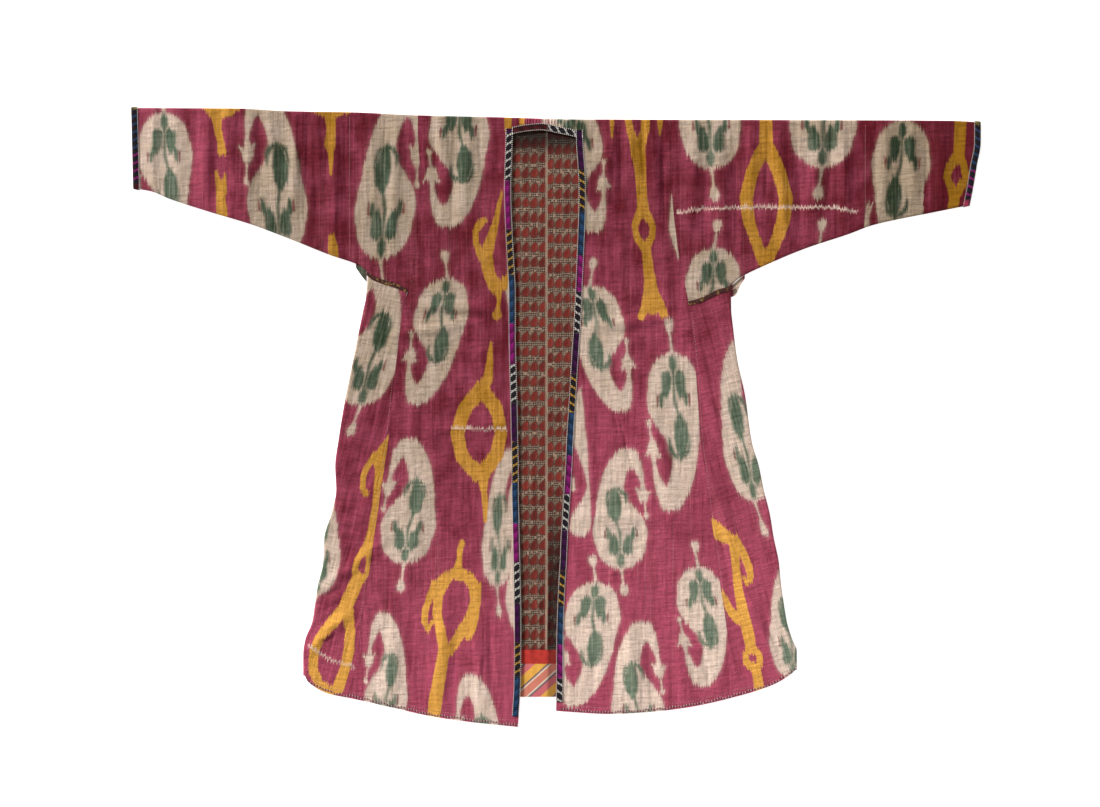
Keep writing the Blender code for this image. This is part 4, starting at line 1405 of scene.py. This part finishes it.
def body(half, sizes, material):
    """One length of ikat from the front hem over the shoulder to the back hem."""
    name = f"body_{half.name}"
    lengths = steps_between(HEM_ROW, NECK_ROW, sizes.row_step)
    kinds, places = rows_of(
        (FRONT, lengths),
        (FRONT, steps_between(NECK_ROW, BRAID_ROW, sizes.row_step)[1:]),
        (RISE, np.linspace(0, 1, 5)[1:-1]),
        (TURN, TURN_ANGLES),
        (BACK, steps_between(NECK_ROW, HEM_ROW, sizes.back_step)),
    )
    start = float(read(half.sections, NECK_ROW, "edge"))
    widest = abs(float(read(half.sections, HEM_ROW, "seam")) - start)
    panel = np.linspace(0, 1, round(widest / sizes.column_step))
    neck = np.linspace(0, 1, round(abs(CENTRE - start) / 0.00125))
    parts, shares = rows_of((PANEL, panel), (BAND, np.linspace(0, 1, 6)[1:]), (NECK, neck[1:]))
    edge_column = len(panel) + 4
    neck_row = len(lengths) - 1
    cad_share = np.where(parts == PANEL, shares * 0.9, np.minimum(0.9 + 0.1 * shares, 1.0))
    kept = {}

    def place(column, row, inner):
        kind = kinds[row]
        at = places[row]
        part = parts[column]
        share = shares[column]
        front = kind == FRONT
        back = kind == BACK
        nominal = np.where(front | back, at, BRAID_ROW)
        x = body_x(half, nominal, np.where(front, at, NECK_ROW), part, share)
        lift = (read(NECK_EDGE, x, "y") - NECK_ROW) * np.where(part == NECK, 1, cad_share[column]) ** 2
        near_neck = np.clip((nominal - NECK_ROW) / ROW_STEP + 1, 0, 1)
        low = row_height(half, nominal, x) + lift * near_neck
        top = read(TOP_EDGE, x, "y") - FOLD_RADIUS
        first = body_x(half, at, NECK_ROW, np.zeros_like(part), np.zeros_like(share))
        across = (x - first) / (CENTRE - first)
        hem = blend(read(half.hem, first, "y"), BACK_HEM, across)
        y = np.select(
            [front, kind == RISE, kind == TURN],
            [low, blend(low, top, at), top],
            row_height(half, at, x, hem),
        )
        angle = np.select([kind == TURN, back], [at, math.pi], 0.0)
        over = np.where(back, top - y + math.pi * FOLD_RADIUS, angle * FOLD_RADIUS)
        kept["weave"] = (x, np.where(back | (kind == TURN), top + over, y))
        spots = (x, y, np.zeros_like(x), np.ones_like(x), angle)
        return turned(spots, np.where(inner, -WALL, 0.0))

    data, column, row, inner = sheet_mesh(
        len(parts), len(kinds), place, lambda i, j: i >= edge_column and j < neck_row
    )
    points = np.empty(len(data.vertices) * 3, np.float32)
    data.vertices.foreach_get("co", points)
    points = points.reshape(-1, 3)
    dye_cloth(data, name, points, kept["weave"])
    piece = new_piece(name + "_ikat", data, [material])
    size = cut_size(kept["weave"], ~inner, column, row)
    declare(piece, name, size)


def gore(half, sizes, material, edging):
    """A gore from its front seam round the folded side of the robe to its back seam."""
    name = f"gore_{half.name}"
    corner = read(half.sections, half.underarm, "seam")
    side_x = read(half.sections, HEM_ROW, "side")
    width = abs(float(side_x - read(half.sections, HEM_ROW, "seam")))
    first = half.underarm - 0.016
    kinds, places = rows_of(
        (0, np.linspace(0, EDGING_WIDTH, 3)),
        (1, np.linspace(0, 1, 7)[1:-1]),
        (2, steps_between(first, HEM_ROW, sizes.row_step)),
    )
    parts, shares = rows_of(
        (0, np.linspace(0, 1, round(width / sizes.column_step))),
        (1, TURN_ANGLES[1:-1]),
        (2, np.linspace(1, 0, round(width / (2 * sizes.column_step)))),
    )
    kept = {}

    def at_top(share, offset):
        nominal = read(half.sleeve, corner, "y") - SLIT - offset
        seam = read(half.sections, nominal, "seam") + half.out * SEAM / 2
        side = read(half.sections, nominal, "side") - half.out * FOLD_RADIUS
        x = blend(seam, side, share)
        return x, read(half.sleeve, x, "y") - SLIT - offset

    def in_body(share, nominal):
        seam = read(half.sections, nominal, "seam") + half.out * SEAM / 2
        side = read(half.sections, nominal, "side") - half.out * FOLD_RADIUS
        x = blend(seam, side, share)
        return x, row_height(half, nominal, x)

    def spots_of(share, kind, at):
        top = at_top(share, np.where(kind == 0, at, EDGING_WIDTH))
        low = in_body(share, np.where(kind == 2, at, first))
        fan = np.select([kind == 0, kind == 1], [0.0, at], 1.0)
        return blend(top[0], low[0], fan), blend(top[1], low[1], fan)

    def place(column, row, inner):
        part = parts[column]
        share = np.where(part == 1, 1.0, shares[column])
        x, y = spots_of(share, kinds[row], places[row])
        angle = np.select([part == 1, part == 2], [shares[column], math.pi], 0.0)
        side = spots_of(np.ones_like(share), kinds[row], places[row])[0]
        past = half.out * angle * FOLD_RADIUS
        u = np.select([part == 0, part == 1], [x, x + past], 2 * side - x + past)
        kept["weave"] = (u, y)
        spots = (x, y, np.full_like(x, half.out), np.zeros_like(x), angle)
        return turned(spots, np.where(inner, -WALL, 0.0))

    data, column, row, inner = sheet_mesh(len(parts), len(kinds), place)
    points = np.empty(len(data.vertices) * 3, np.float32)
    data.vertices.foreach_get("co", points)
    dye_cloth(data, name, points.reshape(-1, 3), kept["weave"])
    piece = new_piece(name + "_ikat", data, [material])
    size = cut_size(kept["weave"], ~inner, column, row)
    declare(piece, name, size)

    across = round(width / 0.0015)

    def place_edging(column, row, inner):
        share = column * EDGING_REACH / (across - 1)
        offset = blend(-SLIT - EDGING_LAP, EDGING_WIDTH, row / 3)
        x, y = at_top(share, offset)
        kept["edging"] = (x, y)
        swell = 0.0005 * np.sin(math.pi * row / 3)
        spots = (x, y, np.full_like(x, half.out), np.zeros_like(x), np.zeros_like(x))
        return turned(spots, np.where(inner, SEAM, SEAM + BRAID + swell))

    data, column, row, inner = sheet_mesh(across, 4, place_edging)
    u, v = kept["edging"]
    put(data, "weave", np.stack([u, v, np.zeros_like(u)], axis=1))
    piece = new_piece(f"slit_edging_{half.name}_cloth", data, [edging])
    edge = [part[(row == 0) & ~inner] for part in kept["edging"]]
    order = np.argsort(edge[0])
    long = float(np.hypot(np.diff(edge[0][order]), np.diff(edge[1][order])).sum())
    size = (long, EDGING_CUT, long * (EDGING_WIDTH + SLIT + EDGING_LAP))
    declare(piece, f"slit_edging_{half.name}", size)


LOW, UP, OVER, UNDER, END = 0, 1, 2, 3, 4


def sleeve_strip(name, half, start, end, at_cuff, sizes, materials):
    """One loom width of a sleeve, as a flattened tube that is closed by the seam under the arm.

    start(y) and end(y) are the seams or the cuff that it runs between.
    """
    top = read(TOP_EDGE, 0.0, "y")
    wide = abs(float(end(np.array(top)) - start(np.array(top))))
    count = round(wide / sizes.column_step)
    band_columns = 6
    tall = float(top - read(half.sleeve, start(np.array(half.underarm)), "y"))
    kinds, places = rows_of(
        (LOW, [math.pi / 2, math.pi * 3 / 8, math.pi / 4, math.pi / 8]),
        (UP, steps_between(1, 0, sizes.row_step / tall)),
        (OVER, TURN_ANGLES[1:-1]),
        (UNDER, steps_between(0, 1, sizes.back_step / tall)),
        (END, [math.pi * 5 / 8, math.pi * 3 / 4, math.pi * 7 / 8, math.pi / 2]),
    )
    kinds = np.where(kinds == END, LOW + 10, kinds)
    places[-4:] = [math.pi * 7 / 8, math.pi * 3 / 4, math.pi * 5 / 8, math.pi / 2]

    def across(y, column):
        if not at_cuff:
            return blend(start(y), end(y), column / count)
        band = end(y) - half.out * BRAID_BAND
        past = count - band_columns
        panel = blend(start(y), band, column / past)
        return np.where(column > past, blend(band, end(y), (column - past) / band_columns), panel)

    def base(column, share):
        top_y = read(TOP_EDGE, across(top, column), "y") - FOLD_RADIUS
        low_y = read(half.sleeve, across(half.underarm, column), "y") + FOLD_RADIUS
        return blend(top_y, low_y, share)

    def spots_of(column, kind, at, depth):
        share = np.select([kind == UP, kind == UNDER, kind == OVER], [at, at, 0.0], 1.0)
        y = base(column, share)
        turn = kind == OVER
        low = (kind == LOW) | (kind == LOW + 10)
        way = np.select([turn, low], [1.0, -1.0], 0.0)
        angle = np.select([kind == UP, kind == UNDER], [0.0, math.pi], at)
        x = across(y + way * (FOLD_RADIUS + depth) * np.sin(angle), column)
        return x, y, np.zeros_like(x), way, angle

    kept = {}

    def place(column, row, inner):
        kind = kinds[row]
        at = places[row]
        depth = np.where(inner, -WALL, 0.0)
        spots = spots_of(column.astype(float), kind, at, depth)
        points = turned(spots, depth)
        points[row == 0, 2] += SEAM / 2
        points[row == len(kinds) - 1, 2] -= SEAM / 2
        x, y, _, _, angle = spots
        top_y = base(column.astype(float), 0.0)
        low_y = base(column.astype(float), 1.0)
        v = np.select(
            [kind == LOW, kind == UP, kind == OVER, kind == UNDER],
            [
                low_y - angle * FOLD_RADIUS,
                y,
                top_y + angle * FOLD_RADIUS,
                2 * top_y - y + math.pi * FOLD_RADIUS,
            ],
            2 * top_y - low_y + (2 * math.pi - angle) * FOLD_RADIUS,
        )
        kept["weave"] = (x, v)
        return points

    data, column, row, inner = sheet_mesh(count + 1, len(kinds), place)
    points = np.empty(len(data.vertices) * 3, np.float32)
    data.vertices.foreach_get("co", points)
    dye_cloth(data, name, points.reshape(-1, 3), kept["weave"])
    piece = new_piece(name + "_ikat", data, materials[:1])
    size = cut_size(kept["weave"], ~inner, column, row)
    declare(piece, name, size)
    if not at_cuff:
        return

    def braid_spots(share, row):
        """Places of the cuff's braid, from under the sleeve round to over the top."""
        past = (1 - share) * BRAID_WIDTH + share * SEAM
        column = count - past / BRAID_BAND * band_columns
        kind = np.select([row < 0, row > 1], [LOW, OVER], UP)
        at = np.select([row < 0, row > 1], [-row, row - 1], 1 - row)
        depth = SEAM + BRAID
        return spots_of(column, kind, at, depth)

    blocks = RIGHT_CUFF_BLOCKS if half is RIGHT else LEFT_CUFF_BLOCKS
    turn = math.pi / 2
    bends = np.linspace(0, turn, 7)
    along = steps_between(0, 1, 0.0013 / CUFF_WIDE)[1:]
    under, over = -bends[::-1], bends[1:]
    ways = np.concatenate([under, along, 1 + over])
    lengths = np.concatenate(
        [under * FOLD_RADIUS, along * CUFF_WIDE, CUFF_WIDE + over * FOLD_RADIUS]
    )
    lengths -= lengths[0]
    name = f"cuff_braid_{half.name}"
    make_braid(name, braid_spots, ways, lengths, blocks, sizes, materials)


def make_braid(name, spots_of, ways, lengths, blocks, sizes, materials):
    """A braid from its spots: spots_of(share across, way along) gives places on the cloth."""
    columns = 9

    def place(column, row, inner):
        share = column / (columns - 1)
        spots = spots_of(share, ways[row])
        swell = 0.0006 * np.sin(math.pi * share) + 0.00018 * np.sin(lengths[row] / 0.0013 * math.pi)
        return turned(spots, np.where(inner, SEAM, SEAM + BRAID + swell))

    data, column, row, inner = sheet_mesh(columns, len(ways), place)
    across = column / (columns - 1) * 2 - 1
    block = np.searchsorted([item.end for item in blocks], lengths[row])
    block = np.minimum(block, len(blocks) - 1)
    hooks = np.array([item.hooks for item in blocks])[block]
    colours = np.array([(*THREADS[item.colour], 1.0) for item in blocks])[block]
    put(data, "braid", np.stack([lengths[row], across, hooks], axis=1))
    put(data, "silk", colours, "FLOAT_COLOR", "color")
    piece = new_piece(name + "_silk", data, materials[1:2])
    long = float(lengths[-1] - lengths[0])
    declare(piece, name, (BRAID_WIDTH, long, BRAID_WIDTH * long))
    knots = np.arange(lengths[0], lengths[-1], sizes.picot_pitch)
    along = np.interp(knots, lengths, ways)
    places = []
    for share in (0.0, 1.0):
        spots = spots_of(np.full(len(along), share), along)
        places.append(turned(spots, np.full(len(along), SEAM + 1.3 * BRAID)))
    knots = scatter(name + "_picots", np.concatenate(places), sizes.picot_radius, materials[2])
    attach(knots, "root")


def scatter(name, places, radius, material, turns=None, stretch=1.0):
    """Small knots or stitches, joined in one mesh, each at its place and turned in the plane."""
    shape = bmesh.new()
    bmesh.ops.create_icosphere(shape, subdivisions=1, radius=radius)
    bmesh.ops.scale(shape, verts=shape.verts, vec=(stretch, 1.0, 0.8))
    points = np.array([vertex.co for vertex in shape.verts])
    corners = np.array([[vertex.index for vertex in face.verts] for face in shape.faces])
    shape.free()
    turns = np.zeros(len(places)) if turns is None else turns
    cos = np.cos(turns)[:, None]
    sin = np.sin(turns)[:, None]
    x = points[:, 0] * cos - points[:, 1] * sin
    y = points[:, 0] * sin + points[:, 1] * cos
    z = np.broadcast_to(points[:, 2], x.shape)
    every = np.stack([x, y, z], axis=2) + places[:, None, :]
    faces = corners[None] + (np.arange(len(places)) * len(points))[:, None, None]
    data = bpy.data.meshes.new(name)
    data.from_pydata(every.reshape(-1, 3).tolist(), [], faces.reshape(-1, 3).tolist())
    return new_piece(name, data, [material])


def sleeve(half, sizes, materials):
    """The two loom widths of a sleeve: the upper one at the armhole, the lower at the cuff."""
    gap = half.out * SEAM / 2

    def at_armhole(y):
        return read(half.sections, y, "seam") + gap

    def before_seam(y):
        return np.full_like(np.asarray(y, float), half.strip_seam - gap)

    def after_seam(y):
        return np.full_like(np.asarray(y, float), half.strip_seam + gap)

    def at_cuff(y):
        return read(half.cuff, y, "x")

    name = f"sleeve_upper_{half.name}"
    sleeve_strip(name, half, at_armhole, before_seam, False, sizes, materials)
    name = f"sleeve_lower_{half.name}"
    sleeve_strip(name, half, after_seam, at_cuff, True, sizes, materials)


def front_braid(half, sizes, materials):
    """The braid down a front edge, made from the points of the panel's flat border."""
    ways = steps_between(NECK_ROW + 0.010, BRAID_END, 0.0013)

    def spots_of(share, way):
        x = read(half.sections, way, "edge")
        y = row_height(half, way, x)
        y = y + np.where(way >= NECK_ROW, read(NECK_EDGE, x, "y") - NECK_ROW, 0.0)
        x = x + half.out * blend(BRAID_WIDTH, SEAM, share)
        return x, y, np.zeros_like(x), np.ones_like(x), np.zeros_like(x)

    blocks = RIGHT_BLOCKS if half is RIGHT else LEFT_BLOCKS
    middle = spots_of(np.full(len(ways), 0.5), ways)
    gone = np.hypot(np.diff(middle[0]), np.diff(middle[1]))
    lengths = np.concatenate([[0.0], np.cumsum(gone)])
    name = f"front_braid_{half.name}"
    make_braid(name, spots_of, ways, lengths, blocks, sizes, materials)


def neck_braid(sizes, materials):
    """The braid round the back of the neck, between the two front braids."""
    start = float(read(RIGHT.sections, NECK_ROW, "edge")) + SEAM
    end = float(read(LEFT.sections, NECK_ROW, "edge")) - SEAM
    ways = steps_between(start, end, 0.0013)

    def spots_of(share, way):
        y = read(NECK_EDGE, way, "y") + blend(SEAM, BRAID_ROW - NECK_ROW - SEAM, share)
        zero = np.zeros_like(way + share)
        return way + zero, y + zero, zero, zero + 1, zero

    make_braid("neck_braid", spots_of, ways, ways - start, NECK_BLOCKS, sizes, materials)


def flat_cloth(name, node, sides, rows, material, painted_shadow):
    """A level cloth on the back's inner side. sides(y) gives its two edges."""
    base = WALL + SEAM
    count = 24
    kept = {}

    def place(column, row, inner):
        y = rows[row]
        left, right = sides(y)
        x = blend(left, right, column / count)
        kept["weave"] = (x, y)
        open_edge = [read(half.sections, y, "edge") for half in HALVES]
        clear = smooth((x - open_edge[0]) / 0.012) * smooth((open_edge[1] - x) / 0.012)
        waves = 0.0007 * rumple(x, y, 0.018, 0.045, 11) + 0.0005 * rumple(x, y, 0.03, 0.012, 12)
        waves = waves + ridges(x, y, LINING_FOLDS)
        z = np.where(inner, base, base + LINING + clear * np.maximum(waves, -0.0006))
        return np.stack([x, y, z], axis=1)

    data, column, row, inner = sheet_mesh(count + 1, len(rows), place)
    x, y = kept["weave"]
    # The weave's third number is a painted shadow, given by the function that is passed in.
    put(data, "weave", np.stack([x - CENTRE, y, painted_shadow(x, y)], axis=1))
    piece = new_piece(name, data, [material])
    size = cut_size(kept["weave"], ~inner, column, row)
    declare(piece, node, size)


def painted_shadow_mask(x, y):
    """Painted shadow on the lining: under the edge at the neck and beside the left front's edge."""
    neck = smooth((y - 0.515) / 0.040)
    beside = smooth((x - CENTRE) / 0.004) * smooth((-y - 0.12) / 0.20)
    return np.clip(0.95 * neck + 0.9 * beside, 0, 1)


def gusset(half, material):
    """The corner of the underarm gusset that shows past the sleeve, on the back's level."""
    name = f"gusset_{half.name}"
    columns = 10
    rows = 6
    kept = {}

    def place(column, row, inner):
        first = half.gusset[0].x - half.out * GUSSET_LAP
        x = blend(first, half.gusset[-1].x, column / (columns - 1))
        low = read(half.gusset, x, "low")
        y = blend(low, read(half.sleeve, x, "y") + FOLD_RADIUS, row / (rows - 1))
        kept["weave"] = (x, y)
        return np.stack([x, y, np.where(inner, WALL, 0.0)], axis=1)

    data, column, row, inner = sheet_mesh(columns, rows, place)
    points = np.empty(len(data.vertices) * 3, np.float32)
    data.vertices.foreach_get("co", points)
    dye_cloth(data, name, points.reshape(-1, 3), kept["weave"])
    piece = new_piece(name + "_ikat", data, [material])
    size = cut_size(kept["weave"], ~inner, column, row)
    declare(piece, name, size)


def stitch_line(name, places, turns, size, material):
    """A row of small stitches on the face of the cloth."""
    x, y = np.asarray(places, float).T
    zero = np.zeros_like(x)
    points = turned((x, y, zero, zero + 1, zero), np.full_like(x, 0.00015))
    piece = scatter(name, points, size, material, np.asarray(turns, float), 2.6)
    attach(piece, "root")
    return piece


def made(name, build):
    """The material of this name, built the first time that it is asked for."""
    return bpy.data.materials.get(name) or build()


def trim_materials(scene):
    sizes, dyes = scene.robe_sizes, scene.robe_dyes
    return [
        made("warp_ikat", lambda: ikat_material(sizes, dyes)),
        made("stitched_silk", braid_material),
        made("picot_thread", lambda: thread_material("picot_thread", (0.90, 0.84, 0.76))),
    ]


class ROBE_OT_bodies(bpy.types.Operator):
    """Makes the two body lengths with their dyed pattern, folds and neck gathers"""

    bl_idname = "robe.bodies"
    bl_label = "Body lengths"

    def execute(self, context):
        sizes = context.scene.robe_sizes
        for half in HALVES:
            body(half, sizes, trim_materials(context.scene)[0])
        return {"FINISHED"}


class ROBE_OT_sleeves(bpy.types.Operator):
    """Makes the four sleeve strips and the braids round the cuffs"""

    bl_idname = "robe.sleeves"
    bl_label = "Sleeves and cuffs"

    def execute(self, context):
        for half in HALVES:
            sleeve(half, context.scene.robe_sizes, trim_materials(context.scene))
        return {"FINISHED"}


class ROBE_OT_gores(bpy.types.Operator):
    """Makes the gores, the edgings of the underarm slits and the gussets"""

    bl_idname = "robe.gores"
    bl_label = "Gores and gussets"

    def execute(self, context):
        material = trim_materials(context.scene)[0]
        edging = made("bias_strip", edging_material)
        for half in HALVES:
            gore(half, context.scene.robe_sizes, material, edging)
            gusset(half, material)
        return {"FINISHED"}


class ROBE_OT_lining(bpy.types.Operator):
    """Makes the printed lining, the red band and the striped facing"""

    bl_idname = "robe.lining"
    bl_label = "Lining and facings"

    def execute(self, context):
        dyes = context.scene.robe_dyes
        printed = made("block_print", lambda: print_material(dyes))
        for half in HALVES:

            def sides(y, half=half):
                front = read(half.sections, y, "edge") + half.out * LINING_MARGIN
                return front, np.full_like(y, CENTRE + half.out * 0.00004)

            rows = steps_between(BRAID_ROW, HEM_BAND_TOP + SEAM, 0.010)
            name = f"lining_{half.name}"
            flat_cloth(name + "_print", name, sides, rows, printed, painted_shadow_mask)

        def both(y):
            right = read(RIGHT.sections, y, "edge") - LINING_MARGIN
            return right, read(LEFT.sections, y, "edge") + LINING_MARGIN

        red = made("plain_cotton", lambda: plain_material("plain_cotton", tuple(dyes.red)))
        rows = steps_between(HEM_BAND_TOP, FACING_TOP + SEAM, 0.006)
        flat_cloth("hem_band_cotton", "hem_band", both, rows, red, painted_shadow_mask)
        striped = made("striped_weave", striped_material)
        rows = steps_between(FACING_TOP, BACK_HEM, 0.006)
        flat_cloth("hem_facing_cotton", "hem_facing", both, rows, striped, painted_shadow_mask)
        return {"FINISHED"}


class ROBE_OT_braids(bpy.types.Operator):
    """Makes the braids of the front edges and of the neck, with their knotted edges"""

    bl_idname = "robe.braids"
    bl_label = "Braids"

    def execute(self, context):
        materials = trim_materials(context.scene)
        for half in HALVES:
            front_braid(half, context.scene.robe_sizes, materials)
        neck_braid(context.scene.robe_sizes, materials)
        return {"FINISHED"}


class ROBE_OT_stitches(bpy.types.Operator):
    """Makes the running stitches of the seams and the hem"""

    bl_idname = "robe.stitches"
    bl_label = "Stitches"

    def execute(self, context):
        sizes = context.scene.robe_sizes
        pale = made("seam_thread", lambda: thread_material("seam_thread", (0.55, 0.36, 0.36)))
        wine = made("wine_thread", lambda: thread_material("wine_thread", (0.16, 0.012, 0.03)))
        for half in HALVES:
            down = np.arange(half.underarm - 0.02, HEM_BEND, -sizes.stitch_pitch)
            x = read(half.sections, down, "seam") + half.out * 0.004
            places = list(zip(x, down))
            top = float(read(TOP_EDGE, half.strip_seam, "y")) - 0.012
            low = float(read(half.sleeve, half.strip_seam, "y")) + 0.012
            strip = np.arange(top, low, -sizes.stitch_pitch)
            places += [(half.strip_seam + half.out * 0.003, y) for y in strip]
            name = f"seam_stitches_{half.name}"
            piece = stitch_line(name, places, np.full(len(places), math.pi / 2), 0.0005, pale)
            edges = [half.hem[0].x, half.hem[-1].x]
            x = np.arange(min(edges) + 0.02, max(edges) - 0.016, sizes.stitch_pitch)
            places = list(zip(x, read(half.hem, x, "y") + 0.012))
            for kind, shift, thread in (("dark", 0.0, wine), ("pale", 0.0028, pale)):
                x_edge = np.arange(min(edges) + 0.012, max(edges) - 0.003, 0.0056) + shift
                rng = np.random.default_rng(len(x_edge))
                y_edge = read(half.hem, x_edge, "y") + 0.002 + rng.uniform(0, 0.004, len(x_edge))
                lean = math.pi / 2 + rng.uniform(-0.25, 0.25, len(x_edge))
                name = f"hem_threads_{kind}_{half.name}"
                piece = stitch_line(name, list(zip(x_edge, y_edge)), lean, 0.0011, thread)
            name = f"hem_stitches_{half.name}"
            piece = stitch_line(name, places, np.full(len(places), math.pi / 2), 0.0005, pale)
        return {"FINISHED"}


class ROBE_OT_stage(bpy.types.Operator):
    """Makes the pale floor, the soft light and the camera straight above the robe"""

    bl_idname = "robe.stage"
    bl_label = "Floor, light and camera"

    def execute(self, context):
        scene = context.scene
        mesh = bmesh.new()
        bmesh.ops.create_grid(mesh, x_segments=1, y_segments=1, size=30.0)
        bmesh.ops.translate(mesh, verts=mesh.verts, vec=(0.0, 0.0, -0.0006))
        data = bpy.data.meshes.new("floor")
        mesh.to_mesh(data)
        mesh.free()
        paper = Graph("floor_paper", 0.95)
        place = paper.node("TexCoord", output=3)
        grain = paper.node("TexNoise", None, {"Vector": place, "Scale": 40.0, "Detail": 3.0})
        paper.colour(paper.mix(grain, (0.90, 0.90, 0.90), (0.93, 0.93, 0.93)))
        paper.shader.inputs["Emission Color"].default_value = (1.0, 1.0, 1.0, 1.0)
        paper.shader.inputs["Emission Strength"].default_value = 0.75
        floor = new_piece("floor", data, [paper.material])
        scene.view_settings.view_transform = "Standard"
        world = bpy.data.worlds.new("studio")
        world.use_nodes = True
        world.node_tree.nodes["Background"].inputs["Color"].default_value = (1.0, 1.0, 1.0, 1.0)
        world.node_tree.nodes["Background"].inputs["Strength"].default_value = 0.30
        scene.world = world
        for name, strength, angle, tilt, turn in (
            ("key", 5.0, 6, 63, 50),
            ("fill", 0.30, 40, 35, 215),
        ):
            light = bpy.data.lights.new(name, "SUN")
            light.energy = strength
            light.angle = math.radians(angle)
            lamp = bpy.data.objects.new(name, light)
            way = Matrix.Rotation(math.radians(turn), 3, "Z") @ Vector(
                (0.0, math.sin(math.radians(tilt)), math.cos(math.radians(tilt)))
            )
            lamp.rotation_euler = way.to_track_quat("Z", "Y").to_euler()
            scene.collection.objects.link(lamp)
        lens = bpy.data.cameras.new("camera")
        lens.lens = 100.0
        lens.sensor_width = 36.0
        camera = bpy.data.objects.new("camera", lens)
        frame_width = 2.2
        distance = frame_width * lens.lens / lens.sensor_width
        camera.location = (-0.012, 0.027, HEIGHT + distance)
        scene.collection.objects.link(camera)
        scene.camera = camera
        return {"FINISHED"}


STEPS = ("bodies", "sleeves", "gores", "lining", "braids", "stitches", "stage")


class ROBE_PT_pieces(bpy.types.Panel):
    """Lists the steps that dress the robe"""

    bl_label = "Chapan robe"
    bl_idname = "ROBE_PT_pieces"
    bl_space_type = "VIEW_3D"
    bl_region_type = "UI"
    bl_category = "Robe"

    def draw(self, context):
        for group in (context.scene.robe_sizes, context.scene.robe_dyes):
            for name in group.bl_rna.properties.keys():
                if name not in ("rna_type", "name"):
                    self.layout.prop(group, name)
        for step in STEPS:
            self.layout.operator(f"robe.{step}")


CLASSES = (
    RobeSizes,
    RobeDyes,
    ROBE_OT_bodies,
    ROBE_OT_sleeves,
    ROBE_OT_gores,
    ROBE_OT_lining,
    ROBE_OT_braids,
    ROBE_OT_stitches,
    ROBE_OT_stage,
    ROBE_PT_pieces,
)


def register():
    for item in CLASSES:
        bpy.utils.register_class(item)
    bpy.types.Scene.robe_sizes = bpy.props.PointerProperty(type=RobeSizes)
    bpy.types.Scene.robe_dyes = bpy.props.PointerProperty(type=RobeDyes)


def unregister():
    del bpy.types.Scene.robe_sizes
    del bpy.types.Scene.robe_dyes
    for item in reversed(CLASSES):
        bpy.utils.unregister_class(item)


def main():
    register()
    for step in STEPS:
        getattr(bpy.ops.robe, step)()
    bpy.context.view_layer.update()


if __name__ == "__main__":
    main()
